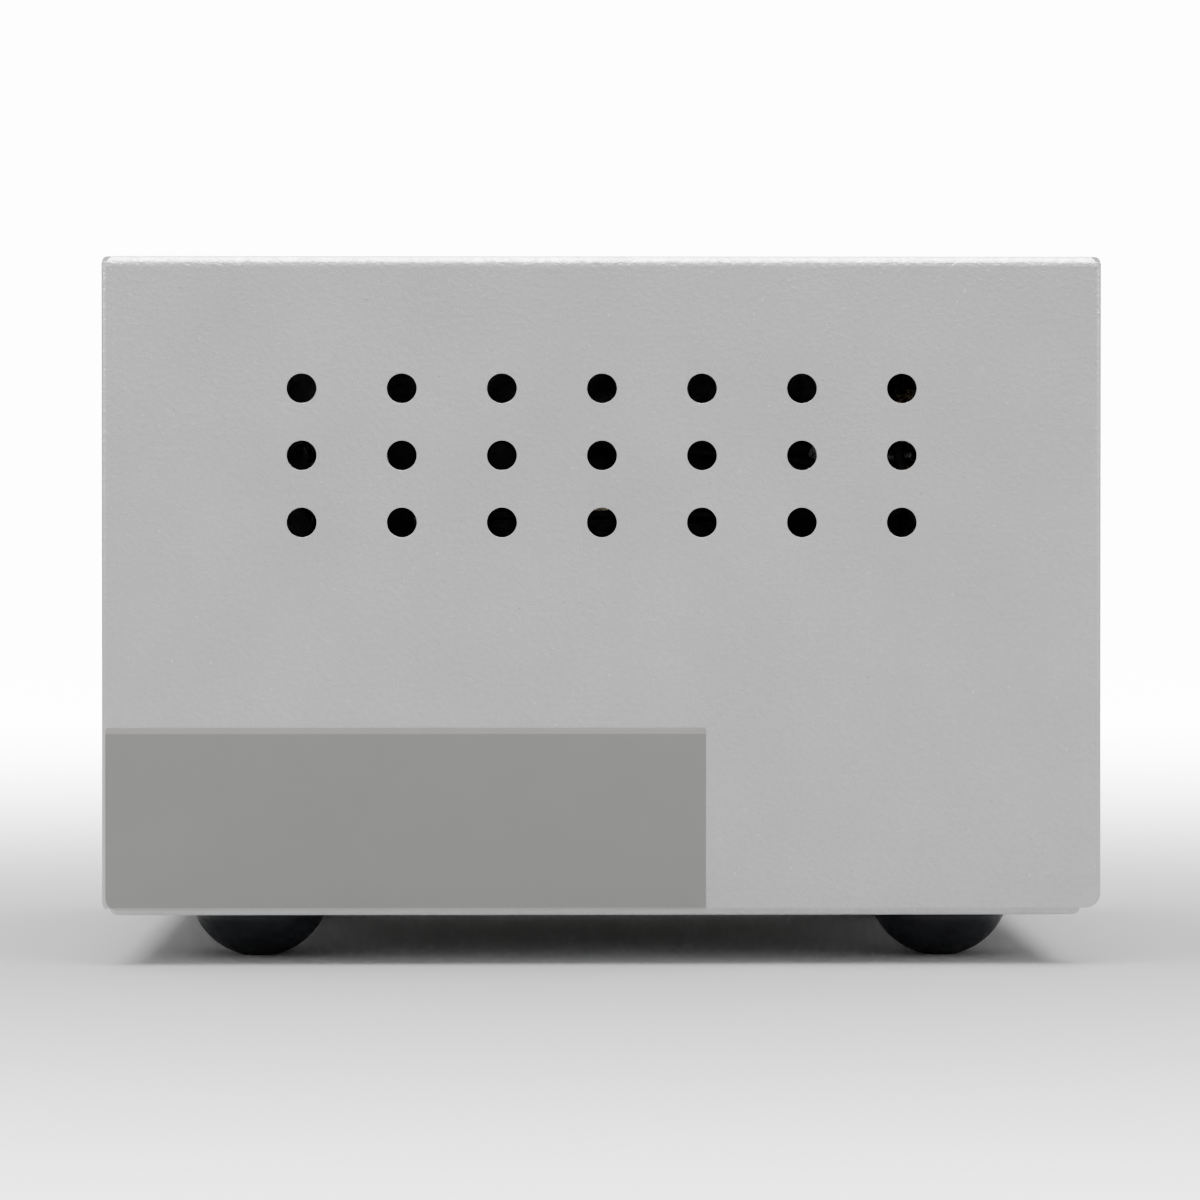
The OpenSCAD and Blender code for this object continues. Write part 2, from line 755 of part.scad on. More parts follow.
module primary_winding() { color([0.72, 0.4, 0.2]) coil_layer(0, layer_1); }
module inner_insulation() { color([0.9, 0.8, 0.4]) coil_layer(layer_1, layer_2); }
module outer_insulation() { color([0.9, 0.8, 0.4]) coil_layer(layer_3, layer_4); }
module secondary_winding() { color([0.75, 0.42, 0.22]) coil_layer(layer_4, layer_5); }
module coil_tape() { color([0.2, 0.2, 0.22]) coil_layer(layer_5, layer_6); }

// One turn of copper foil, left open so that it is not a shorted turn
module electrostatic_shield() {
    color([0.8, 0.5, 0.3]) difference() {
        coil_layer(layer_2, layer_3);
        block([bobbin_x, -shield_slit / 2, coil_z0 - over],
              [flange_x, shield_slit / 2, coil_z1 + over]);
    }
}

// Solder tags on the upper flange: four of the primary, two of the secondary and one of the shield
function primary_tag(i) = [-flange_x + tag_inset, (i / 3 - 1 / 2) * tag_spread, bobbin_z1 + tag_h];
function secondary_tag(i) = [flange_x - tag_inset, (i / 2 - 1 / 2) * tag_spread, bobbin_z1 + tag_h];

module winding_tag(tip) {
    translate([tip[0] - tag_t / 2, tip[1] - tag_w / 2, tip[2] - tag_h]) cube([tag_t, tag_w, tag_h]);
}

module winding_tags() {
    color("gold") {
        for (i = [0 : 3]) winding_tag(primary_tag(i));
        for (i = [0 : 2]) winding_tag(secondary_tag(i));
    }
}

module thermal_cutout() {
    x = bobbin_x + layer_6;
    z = (coil_z0 + coil_z1) / 2;
    color([0.95, 0.95, 0.9])
        block([-x - cutout_t, -cutout_w / 2, z - cutout_h / 2], [-x, cutout_w / 2, z + cutout_h / 2]);
}

module bracket(side) {
    color([0.55, 0.56, 0.58]) mirror([side, 0, 0]) difference() {
        union() {
            block([stack_t / 2, -core_l / 2, base_z1], [stack_t / 2 + bracket_t, core_l / 2, base_z1 +
                bracket_h]);
            block([stack_t / 2, -core_l / 2, base_z1], [stack_t / 2 + bracket_foot, core_l / 2,
                base_z1 + bracket_t]);
        }
        core_bolt_holes();
        for (y = [-1, 1]) translate([mount_bolt_x, y * mount_bolt_y, base_z1 - over])
            cylinder(h = bracket_t + 2 * over, d = m5 + 2 * hole_gap);
    }
}

module bracket_left() { bracket(1); }
module bracket_right() { bracket(0); }

module clamp_bar(side) {
    color([0.55, 0.56, 0.58]) mirror([side, 0, 0]) difference() {
        block([stack_t / 2, -core_l / 2, clamp_z0], [stack_t / 2 + bracket_t, core_l / 2, clamp_z0 +
            clamp_h]);
        core_bolt_holes();
    }
}

module clamp_bar_left() { clamp_bar(1); }
module clamp_bar_right() { clamp_bar(0); }

// Places something along +X at the outer face of a bracket, at each core bolt
module at_core_bolts(side) {
    for (y = [-1, 1]) for (z = [low_bolt_z, high_bolt_z]) mirror([side, 0, 0])
        translate([stack_t / 2 + bracket_t, y * bolt_y, z]) rotate([0, 90, 0]) children();
}

module core_bolts() {
    l = stack_t + 2 * (bracket_t + m6_washer_t) + m6_head_h + screw_tip;
    color("silver") at_core_bolts(0) {
        translate([0, 0, m6_washer_t]) cylinder(h = m6_head_h, d = m6_head_af / cos(30), $fn = 6);
        translate([0, 0, m6_washer_t - l]) cylinder(h = l + m6_head_h / 2, d = m6);
    }
}

module core_nuts() {
    color("silver") at_core_bolts(1) translate([0, 0, m6_washer_t]) hex_nut(m6, m6_head_af, m6_head_h);
}

module core_washers() {
    color("silver") for (side = [0, 1]) at_core_bolts(side) difference() {
        cylinder(h = m6_washer_t, d = m6_washer_d);
        translate([0, 0, -over]) cylinder(h = m6_washer_t + 2 * over, d = m6 + 2 * hole_gap);
    }
}

module mounting_bolts() {
    color("silver") at_four(mount_bolt_x, mount_bolt_y) translate([0, 0, base_z0])
        flat_screw(m5, m5_sunk, chassis_t + bracket_t + m5_nut_h + screw_tip);
}

module mounting_nuts() {
    color("silver") at_four(mount_bolt_x, mount_bolt_y) translate([0, 0, base_z1 + bracket_t])
        hex_nut(m5, m5_nut_af, m5_nut_h);
}

// Inlet, outlets and fuses

// Face of the connector, bevelled on the earth side, which is up
module plug_outline(grow) {
    w = plug_w / 2 + grow;
    h = plug_h / 2 + grow;
    polygon([[-w, -h], [w, -h], [w, h - plug_bevel], [w - plug_bevel, h], [plug_bevel - w, h], [-w, h -
        plug_bevel]]);
}

// Places of the live, neutral and earth contacts
function pole(i) = i == 2 ? [0, pole_z] : [(2 * i - 1) * pole_x, -pole_z];

module latches(w, t) {
    for (side = [0, 1]) mirror([side, 0, 0]) translate([w / 2, -t - run_gap, -latch_w / 2])
        linear_extrude(height = latch_w) polygon([[0, 0], [latch_t, 0], [0, -latch_l]]);
}

module outlet() {
    color([0.12, 0.12, 0.12]) difference() {
        union() {
            across(0, socket_flange_t) round_rect(socket_flange_w, socket_flange_h, socket_flange_r);
            across(-socket_depth, 0) square([socket_w, socket_h], center = true);
            latches(socket_w, chassis_t);
        }
        across(socket_flange_t - plug_depth, socket_flange_t + over) difference() {
            plug_outline(moat_w);
            plug_outline(0);
        }
        for (i = [0 : 2]) translate([pole(i)[0], 0, pole(i)[1]]) {
            block([-slot_w / 2, socket_flange_t - plug_depth, -slot_h / 2],
                  [slot_w / 2, socket_flange_t + over, slot_h / 2]);
            block([-slot_w / 2, -socket_depth - over, -blade_w / 2],
                  [-slot_w / 2 + blade_t, socket_flange_t - plug_depth + run_gap, blade_w / 2]);
        }
    }
}

module outlet_1() { on_rear(outlet_x(0), outlet_z) outlet(); }
module outlet_2() { if (outlet_count > 1) on_rear(outlet_x(1), outlet_z) outlet(); }
module outlet_3() { if (outlet_count > 2) on_rear(outlet_x(2), outlet_z) outlet(); }
module outlet_4() { if (outlet_count > 3) on_rear(outlet_x(3), outlet_z) outlet(); }

// A contact's leaf in its slot, and its blade out of the back
module outlet_contacts() {
    color("gold") for (i = [0 : outlet_count - 1]) on_rear(outlet_x(i), outlet_z) for (p = [0 : 2])
        translate([pole(p)[0] - slot_w / 2, 0, pole(p)[1]]) {
            block([0, socket_flange_t - plug_depth, -slot_h / 2], [leaf_t, socket_flange_t - leaf_gap,
                slot_h / 2]);
            block([0, -socket_depth - blade_l, -blade_w / 2], [blade_t, socket_flange_t - plug_depth,
                blade_w / 2]);
        }
}

// Where each bar crosses the blades: its distance behind the outlets and the height of its rail
function bar_y(p) = rear_face - socket_depth - (p == 1 ? 2 : 1) * bar_step;
function rail_z(p) = outlet_z + (p == 2 ? bar_drop : -bar_drop - p * (bar_h + bar_step)) - bar_h / 2;

// Flat comb whose fingers take one pole of every outlet
module outlet_bar(p) {
    mid = outlet_z + pole(p)[1];
    low = min(rail_z(p), mid - blade_w / 2 - bar_t);
    high = max(rail_z(p) + bar_h, mid + blade_w / 2 + bar_t);
    difference() {
        union() {
            block([outlet_x(0) + pole(p)[0] - finger_w / 2 - slot_w / 2, bar_y(p), rail_z(p)],
                  [outlet_x(outlet_count - 1) + pole(p)[0] + finger_w / 2 - slot_w / 2, bar_y(p) +
                      bar_t, rail_z(p) + bar_h]);
            for (i = [0 : outlet_count - 1]) translate([outlet_x(i) + pole(p)[0] - slot_w / 2, 0, 0])
                block([-finger_w / 2, bar_y(p), low], [finger_w / 2, bar_y(p) + bar_t, high]);
        }
        for (i = [0 : outlet_count - 1]) translate([outlet_x(i) + pole(p)[0] - slot_w / 2, 0, mid])
            block([0, bar_y(p) - over, -blade_w / 2], [blade_t, bar_y(p) + bar_t + over, blade_w / 2]);
    }
}

module outlet_bars() { color([0.8, 0.55, 0.35]) for (p = [0 : 2]) outlet_bar(p); }

module inlet_body() {
    color([0.12, 0.12, 0.12]) on_rear(inlet_x, inlet_z) difference() {
        union() {
            across(0, inlet_flange_t) round_rect(inlet_flange_w, inlet_flange_h, inlet_flange_r);
            across(-inlet_depth, 0) square([inlet_w, inlet_h], center = true);
        }
        translate([0, 0, cavity_rise]) {
            across(inlet_flange_t - plug_depth, inlet_flange_t + over) plug_outline(cavity_gap);
            for (p = [0 : 2]) translate([pole(p)[0], 0, pole(p)[1]]) {
                block([-pin_t / 2, inlet_flange_t - plug_depth - pin_root, -pin_w / 2],
                      [pin_t / 2, inlet_flange_t - plug_depth + run_gap, pin_w / 2]);
                block([-blade_t / 2, -inlet_depth - over, -blade_w / 2],
                      [blade_t / 2, inlet_flange_t - plug_depth - pin_root + run_gap, blade_w / 2]);
            }
        }
        translate([0, 0, -drawer_drop])
            block([-drawer_w / 2 - move_gap, inlet_flange_t - drawer_l - move_gap, -drawer_h / 2 -
                move_gap],
                  [drawer_w / 2 + move_gap, inlet_flange_t + over, drawer_h / 2 + move_gap]);
        for (side = [-1, 1]) translate([side * inlet_screw_x, inlet_flange_t, 0]) rotate([90, 0, 0])
            flat_screw_hole(m3, m3_head, inlet_flange_t);
    }
}

module inlet_contacts() {
    color("silver") on_rear(inlet_x, inlet_z + cavity_rise) for (p = [0 : 2]) translate([pole(p)[0], 0,
        pole(p)[1]]) {
        tip = inlet_flange_t - pin_set_back + (p == 2 ? earth_pin_lead : 0);
        root = inlet_flange_t - plug_depth - pin_root;
        block([-pin_t / 2, root, -pin_w / 2], [pin_t / 2, tip, pin_w / 2]);
        block([-blade_t / 2, -inlet_depth - blade_l, -blade_w / 2], [blade_t / 2, root, blade_w / 2]);
    }
}

module rear_screws(x, flange_t) {
    for (side = [-1, 1]) translate([side * x, flange_t, 0]) rotate([90, 0, 0])
        flat_screw(m3, m3_head, flange_t + chassis_t + m3_nut_h + screw_tip);
}

module rear_nuts(x) {
    for (side = [-1, 1]) translate([side * x, -chassis_t, 0]) rotate([90, 0, 0]) m3_nut();
}

module inlet_screws() { color("silver") on_rear(inlet_x, inlet_z) rear_screws(inlet_screw_x,
    inlet_flange_t); }

module on_drawer() { on_rear(inlet_x, inlet_z - drawer_drop) children(); }

// Where the fuses lie: their front end, measured outwards from the rear panel
fuse_y1 = inlet_flange_t - drawer_face_t - fuse_gap;

module fuse_drawer() {
    pocket = fuse_d + 2 * fuse_gap;
    color([0.16, 0.16, 0.16]) on_drawer() difference() {
        block([-drawer_w / 2, inlet_flange_t - drawer_l, -drawer_h / 2],
              [drawer_w / 2, inlet_flange_t + drawer_stand, drawer_h / 2]);
        for (side = [-1, 1]) block(
            [side * fuse_x - pocket / 2, fuse_y1 - fuse_l - fuse_gap, -fuse_d / 2 - fuse_gap],
            [side * fuse_x + pocket / 2, fuse_y1 + fuse_gap, drawer_h / 2 + over]);
        block([-drawer_grip_w / 2, inlet_flange_t - drawer_grip_d, drawer_h / 2 - drawer_grip_h],
              [drawer_grip_w / 2, inlet_flange_t + over, drawer_h / 2 + over]);
    }
}

module at_fuses(y) {
    on_drawer() for (side = [-1, 1]) translate([side * fuse_x, y, 0]) rotate([90, 0, 0]) children();
}

module fuse_tubes() {
    color([0.85, 0.88, 0.9]) at_fuses(fuse_y1 - fuse_cap_l) cylinder(h = fuse_l - 2 * fuse_cap_l, d =
        fuse_tube_d);
}

module fuse_caps() {
    color("silver") {
        at_fuses(fuse_y1) cylinder(h = fuse_cap_l, d = fuse_d);
        at_fuses(fuse_y1 - fuse_l + fuse_cap_l) cylinder(h = fuse_cap_l, d = fuse_d);
    }
}

// Voltage selector

slider_y1 = selector_flange_t - slider_set_back;
slider_y0 = slider_y1 - slider_floor;
slider_x0 = -selector_travel / 2 - slider_w / 2;

module selector_body() {
    well_w = slider_w + selector_travel + 2 * move_gap;
    color([0.12, 0.12, 0.12]) on_rear(selector_x, selector_z) difference() {
        union() {
            across(0, selector_flange_t) round_rect(selector_flange_w, selector_flange_h,
                selector_flange_r);
            across(-selector_depth, 0) square([selector_body_w, selector_body_h], center = true);
        }
        block([-well_w / 2, slider_y0 - move_gap, -slider_h / 2 - move_gap],
              [well_w / 2, selector_flange_t + over, slider_h / 2 + move_gap]);
        block([-well_w / 2, slider_y0 - move_gap, -slider_h / 2 - slider_wing - move_gap],
              [well_w / 2, slider_y0 + slider_wing_t + move_gap, slider_h / 2 + slider_wing + move_gap]);
        for (side = [-1, 1]) {
            translate([side * selector_screw_x, selector_flange_t, 0]) rotate([90, 0, 0])
                cylinder(h = selector_flange_t + over, d = m3 + 2 * hole_gap);
            block([side * selector_blade_x - blade_t / 2, -selector_depth - over, -selector_blade_w / 2],
                  [side * selector_blade_x + blade_t / 2, slider_y0 - move_gap - blade_t,
                      selector_blade_w / 2]);
        }
    }
}

module selector_slider() {
    color([0.75, 0.12, 0.1]) on_rear(selector_x, selector_z) translate([slider_x0, 0, 0]) difference() {
        union() {
            block([0, slider_y0, -slider_h / 2], [slider_w, slider_y1, slider_h / 2]);
            block([0, slider_y0, -slider_h / 2 - slider_wing], [slider_w, slider_y0 + slider_wing_t,
                slider_h / 2 + slider_wing]);
        }
        block([slider_w / 2 - slider_groove_w / 2, slider_y1 - slider_groove_d, -slider_h / 2 - over],
              [slider_w / 2 + slider_groove_w / 2, slider_y1 + over, slider_h / 2 + over]);
    }
}

module selector_contacts() {
    color("gold") on_rear(selector_x, selector_z) for (side = [-1, 1])
        block([side * selector_blade_x - blade_t / 2, -selector_depth - selector_blade_l,
            -selector_blade_w / 2],
              [side * selector_blade_x + blade_t / 2, slider_y0 - move_gap - blade_t,
                  selector_blade_w / 2]);
}

module selector_screws() {
    color("silver") on_rear(selector_x, selector_z) for (side = [-1, 1])
        translate([side * selector_screw_x, selector_flange_t, 0]) rotate([90, 0, 0])
            pan_screw(m3, m3_head, m3_pan_h, selector_flange_t + chassis_t + m3_nut_h + screw_tip);
}

// Power switch

module switch_body() {
    color([0.1, 0.1, 0.1]) on_front(switch_x, switch_z) difference() {
        union() {
            across(0, switch_bezel_t) round_rect(switch_bezel_w, switch_bezel_h, switch_bezel_r);
            across(-switch_depth, 0) square([switch_w, switch_h], center = true);
            latches(switch_w, chassis_t);
        }
        block([-rocker_w / 2 - move_gap, -switch_floor, -rocker_reach - move_gap],
              [rocker_w / 2 + move_gap, switch_bezel_t + over, rocker_reach + move_gap]);
        translate([0, rocker_axis, 0]) rotate([0, 90, 0])
            cylinder(h = rocker_w + 2 * (trunnion_l + run_gap), d = trunnion_d + 2 * run_gap, center =
                true);
        for (x = [-1, 1]) for (z = [-1, 1]) translate([x * switch_blade_x, 0, z * switch_blade_z])
            block([-blade_t / 2, -switch_depth - over, -blade_w / 2], [blade_t / 2, -switch_floor +
                over, blade_w / 2]);
    }
}

// Profile of the rocker in Y and Z, level, with its axis at the origin
module rocker_outline() {
    polygon([[-rocker_root, -rocker_root_half], [rocker_end - rocker_root / 2, -rocker_half],
             [rocker_end, -rocker_half], [rocker_valley, 0], [rocker_end, rocker_half],
             [rocker_end - rocker_root / 2, rocker_half], [-rocker_root, rocker_root_half]]);
}

// Puts something on the tilting rocker: x across, y outwards and z up, the axis at the origin
module on_rocker() {
    on_front(switch_x, switch_z) translate([0, rocker_axis, 0]) rotate([-rocker_throw / 2, 0, 0])
        children();
}

module window_block(grow) {
    translate([0, rocker_valley, 0]) rotate([-rocker_throw / 2, 0, 0])
        block([-window_l / 2, -window_t, window_at - window_s / 2], [window_l / 2, grow, window_at +
            window_s / 2]);
}

module switch_rocker() {
    color([0.08, 0.08, 0.08]) on_rocker() difference() {
        union() {
            translate([-rocker_w / 2, 0, 0]) rotate([90, 0, 90]) linear_extrude(height = rocker_w)
                rocker_outline();
            rotate([0, 90, 0]) cylinder(h = rocker_w + 2 * trunnion_l, d = trunnion_d, center = true);
        }
        window_block(over);
    }
}

module switch_window() { color([0.1, 0.8, 0.3]) on_rocker() window_block(0); }

module switch_contacts() {
    color("gold") on_front(switch_x, switch_z) for (x = [-1, 1]) for (z = [-1, 1])
        translate([x * switch_blade_x, 0, z * switch_blade_z])
            block([-blade_t / 2, -switch_depth - blade_l, -blade_w / 2], [blade_t / 2, -switch_floor,
                blade_w / 2]);
}

// Earth stud, pressed into the base, with ring lugs under a nut

module earth_stud() {
    color("silver") translate([stud_x, stud_y, base_z0]) cylinder(h = stud_h, d = m5);
}

module earth_nut() {
    color("silver") translate([stud_x, stud_y, base_z1 + len(lug_turns) * lug_pitch]) hex_nut(m5,
        m5_nut_af, m5_nut_h);
}

// Direction in which a ring lug points from the stud
function lug_way(i) = [cos(lug_turns[i]), sin(lug_turns[i]), 0];
function lug_end(i, far) = [stud_x, stud_y, base_z1 + barrel_d / 2 + run_gap] + (lug_d / 2 + lug_tail +
    barrel_l + far) * lug_way(i);

module earth_lugs() {
    color([0.75, 0.75, 0.72]) for (i = [0 : len(lug_turns) - 1]) {
        translate([stud_x, stud_y, base_z1 + i * lug_pitch]) rotate([0, 0, lug_turns[i]]) difference() {
            union() {
                cylinder(h = lug_t, d = lug_d);
                translate([0, -barrel_d / 2, 0]) cube([lug_d / 2 + lug_tail + barrel_l / 2, barrel_d,
                    lug_t]);
            }
            translate([0, 0, -over]) cylinder(h = lug_t + 2 * over, d = m5 + 2 * hole_gap);
        }
        translate(lug_end(i, -barrel_l)) rotate([0, 90, lug_turns[i]]) cylinder(h = barrel_l, d =
            barrel_d);
    }
}

// Leads

function unit(v) = v / norm(v);

// A route with each inner corner rounded by a quadratic curve
function rounded(p) = [
    p[0],
    for (i = [1 : len(p) - 2])
        let (a = unit(p[i - 1] - p[i]), b = unit(p[i + 1] - p[i]),
             r = min(corner_r, norm(p[i - 1] - p[i]) * 0.45, norm(p[i + 1] - p[i]) * 0.45))
        for (k = [0 : corner_steps])
            let (t = k / corner_steps)
            p[i] + a * r * (1 - t) * (1 - t) + b * r * t * t,
    p[len(p) - 1]
];

// Directions along a route, and a side vector carried along it
function tangents(q) = [
    for (i = [0 : len(q) - 1])
        unit(i == 0 ? q[1] - q[0] : i == len(q) - 1 ? q[i] - q[i - 1]
             : unit(q[i + 1] - q[i]) + unit(q[i] - q[i - 1]))
];
function first_side(t) = unit(cross(t, abs(t[2]) < 0.9 ? [0, 0, 1] : [1, 0, 0]));
function carried(u, t) = unit(u - (u * t) * t);
function sides(t) = [for (i = 0, u = first_side(t[0]); i < len(t); i = i + 1, u = i < len(t)
    ? carried(u, t[i]) : u) u];

module lead(points) {
    q = rounded(points);
    t = tangents(q);
    u = sides(t);
    n = len(q);
    rings = [
        for (i = [0 : n - 1]) let (v = cross(t[i], u[i]))
            for (k = [0 : lead_sides - 1]) let (angle = 360 * k / lead_sides)
                q[i] + (cos(angle) * u[i] + sin(angle) * v) * lead_d / 2
    ];
    faces = [
        [for (k = [0 : lead_sides - 1]) k],
        [for (k = [0 : lead_sides - 1]) n * lead_sides - 1 - k],
        for (i = [0 : n - 2]) for (k = [0 : lead_sides - 1])
            let (a = i * lead_sides + k, b = i * lead_sides + (k + 1) % lead_sides)
            [a, a + lead_sides, b + lead_sides, b]
    ];
    polyhedron(rings, faces);
}

// Ends of the blades, bars and tags that the leads go to
function inlet_tip(p) = [inlet_x + pole(p)[0], rear_face - inlet_depth - blade_l, inlet_z +
    cavity_rise + pole(p)[1]];
function switch_tip(x, z) = [switch_x + x * switch_blade_x, front_face + switch_depth + blade_l,
    switch_z + z * switch_blade_z];
function selector_tip(x) = [selector_x + x * selector_blade_x, rear_face - selector_depth -
    selector_blade_l, selector_z];
function bar_tip(p) = [outlet_x(outlet_count - 1) + pole(p)[0] - slot_w / 2 + finger_w / 2 - bar_h / 2,
    bar_y(p), rail_z(p) + bar_h / 2];
function ahead(p, run) = p + [0, run, 0];
function above(p, rise) = p + [0, 0, rise];

// From the inlet along the floor to the switch, beside the core
module supply_lead(p, side) {
    x = lane_x + p * lane_step;
    lead([inlet_tip(p), ahead(inlet_tip(p), -lead_run), [x, window_y1 + lead_clear, middle_z], [x,
        window_y1, lane_z],
          [x, -window_y1, lane_z], [x, -window_y1 - lead_clear, middle_z],
          ahead(switch_tip(side, -1), lead_run), switch_tip(side, -1)]);
}

module live_leads() {
    color([0.35, 0.2, 0.12]) {
        supply_lead(0, -1);
        lead([switch_tip(-1, 1), ahead(switch_tip(-1, 1), lead_run), [pass_x, -bolt_y, over_core_z],
              [primary_tag(0)[0], -bolt_y, over_core_z], above(primary_tag(0), tag_run), primary_tag(0)]);
        lead([secondary_tag(2), above(secondary_tag(2), tag_run), [bar_tip(0)[0], bolt_y, high_bolt_z +
            lead_clear],
              ahead(bar_tip(0), -lead_run), bar_tip(0)]);
        lead([selector_tip(-1), ahead(selector_tip(-1), -lead_run),
              [-flange_x - lead_clear, window_y1 + 2 * lead_clear, bobbin_z1],
              above(primary_tag(3), tag_run), primary_tag(3)]);
        lead([selector_tip(1), ahead(selector_tip(1), -lead_run), [-pass_x, bolt_y, high_bolt_z -
            lead_clear],
              [-pass_x, tag_spread / 2, over_core_z], above(primary_tag(2), tag_run), primary_tag(2)]);
    }
}

module neutral_leads() {
    near_y = -bolt_y + 2 * lead_clear;
    color([0.15, 0.25, 0.6]) {
        supply_lead(1, 1);
        lead([switch_tip(1, 1), ahead(switch_tip(1, 1), lead_run),
              [pass_x, near_y, over_core_z],
              [-stack_t / 2 - lead_clear, near_y, over_core_z],
              [-pass_x, primary_tag(0)[1] + lead_clear, over_core_z], above(primary_tag(1), tag_run),
                  primary_tag(1)]);
        lead([secondary_tag(0), above(secondary_tag(0), tag_run), [lane_x, -window_y0 / 2, high_bolt_z +
            lead_clear],
              [lane_x, window_y1 + lead_clear, high_bolt_z], ahead(bar_tip(1), -lead_run), bar_tip(1)]);
    }
}

module earth_leads() {
    color([0.45, 0.6, 0.15]) {
        lead([inlet_tip(2), ahead(inlet_tip(2), -lead_run), [inlet_x, core_l / 2 + lead_clear, middle_z],
              lug_end(0, tag_run), lug_end(0, 0)]);
        lead([secondary_tag(1), above(secondary_tag(1), tag_run), [side_x, window_y0, switch_z],
              [side_x, core_l / 2, middle_z], lug_end(1, tag_run), lug_end(1, 0)]);
        lead([bar_tip(2), ahead(bar_tip(2), -lead_run), [side_x, core_l / 2, high_bolt_z],
              [side_x, stud_y, middle_z], lug_end(2, tag_run), lug_end(2, 0)]);
    }
}

chassis();
front_panel();
cover();
rating_label();
foot_front_left();
foot_front_right();
foot_rear_left();
foot_rear_right();
foot_screws();
cover_screws();
panel_screws();
m3_nuts();
e_laminations();
i_laminations();
bobbin();
primary_winding();
inner_insulation();
electrostatic_shield();
outer_insulation();
secondary_winding();
coil_tape();
winding_tags();
thermal_cutout();
bracket_left();
bracket_right();
clamp_bar_left();
clamp_bar_right();
core_bolts();
core_nuts();
core_washers();
mounting_bolts();
mounting_nuts();
inlet_body();
inlet_contacts();
inlet_screws();
fuse_drawer();
fuse_tubes();
fuse_caps();
outlet_1();
outlet_2();
outlet_3();
outlet_4();
outlet_contacts();
outlet_bars();
selector_body();
selector_slider();
selector_contacts();
selector_screws();
switch_body();
switch_rocker();
switch_window();
switch_contacts();
earth_stud();
earth_nut();
earth_lugs();
live_leads();
neutral_leads();
earth_leads();
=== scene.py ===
import functools
import json
import math

import bpy
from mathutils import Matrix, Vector


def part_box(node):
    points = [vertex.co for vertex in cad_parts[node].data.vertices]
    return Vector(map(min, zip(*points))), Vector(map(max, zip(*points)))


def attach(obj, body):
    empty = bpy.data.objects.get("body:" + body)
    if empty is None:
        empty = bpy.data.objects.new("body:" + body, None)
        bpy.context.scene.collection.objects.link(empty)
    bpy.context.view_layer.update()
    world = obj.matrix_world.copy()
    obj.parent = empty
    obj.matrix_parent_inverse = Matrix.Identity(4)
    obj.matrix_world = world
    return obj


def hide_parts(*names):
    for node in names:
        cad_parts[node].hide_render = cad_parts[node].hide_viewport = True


# Looks of the bench isolation transformer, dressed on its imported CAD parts. Lengths are in metres.

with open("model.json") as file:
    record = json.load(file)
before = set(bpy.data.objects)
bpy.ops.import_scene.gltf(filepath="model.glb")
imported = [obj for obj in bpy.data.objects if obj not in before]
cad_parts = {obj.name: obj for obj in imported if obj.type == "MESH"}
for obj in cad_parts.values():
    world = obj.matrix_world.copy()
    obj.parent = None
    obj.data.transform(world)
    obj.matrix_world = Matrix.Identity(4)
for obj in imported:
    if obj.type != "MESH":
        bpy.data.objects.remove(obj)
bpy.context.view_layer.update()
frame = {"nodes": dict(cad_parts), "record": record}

MM = 0.001
QUARTER_TURN = math.radians(90)
HALF_TURN = math.radians(180)
TO_REAR = Vector((0, 1, 0))
TO_FRONT = Vector((0, -1, 0))
UPWARDS = Vector((0, 0, 1))

# Highest corner of the cover, whose X is the side that the photograph shows
cover_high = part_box("cover")[1]


# Material graphs

# Wave bands of scale 1 repeat after this length in metres along X, Y or Z
WAVE_LENGTH = math.pi / 10

# Outer edge of a speck's blurred rim, as a multiple of its radius
SPECK_RIM = 1.6


def new_finish(name, roughness, metallic=0.0):
    """A Principled material, with its node tree and its shader."""
    finish = bpy.data.materials.new(name)
    finish.use_nodes = True
    tree = finish.node_tree
    shader = tree.nodes["Principled BSDF"]
    shader.inputs["Roughness"].default_value = roughness
    shader.inputs["Metallic"].default_value = metallic
    return finish, tree, shader


def with_value(finish, socket, value):
    """The same finish, with one more value set on its shader."""
    finish.node_tree.nodes["Principled BSDF"].inputs[socket].default_value = value
    return finish


def object_place(tree, stretch=(1, 1, 1)):
    """Object coordinates in metres, stretched along each axis."""
    coords = tree.nodes.new("ShaderNodeTexCoord")
    mapping = tree.nodes.new("ShaderNodeMapping")
    mapping.inputs["Scale"].default_value = stretch
    tree.links.new(coords.outputs["Object"], mapping.inputs["Vector"])
    return mapping.outputs["Vector"]


def noise(tree, feature, detail=3.0, stretch=(1, 1, 1)):
    """Noise with features of that size."""
    grain = tree.nodes.new("ShaderNodeTexNoise")
    grain.inputs["Scale"].default_value = 1 / feature
    grain.inputs["Detail"].default_value = detail
    tree.links.new(object_place(tree, stretch), grain.inputs["Vector"])
    return grain.outputs["Fac"]


def waves(tree, direction, scale, distortion=0.0, profile="SIN"):
    """Bands that follow each other along a direction."""
    bands = tree.nodes.new("ShaderNodeTexWave")
    bands.bands_direction = direction
    bands.wave_profile = profile
    bands.inputs["Scale"].default_value = scale
    bands.inputs["Distortion"].default_value = distortion
    tree.links.new(object_place(tree), bands.inputs["Vector"])
    return bands.outputs["Fac"]


def spread(tree, value, low, high, start=0.3, end=0.7):
    """Carries a value from the range start to end over to the range low to high."""
    span = tree.nodes.new("ShaderNodeMapRange")
    span.inputs["From Min"].default_value = start
    span.inputs["From Max"].default_value = end
    span.inputs["To Min"].default_value = low
    span.inputs["To Max"].default_value = high
    tree.links.new(value, span.inputs["Value"])
    return span.outputs["Result"]


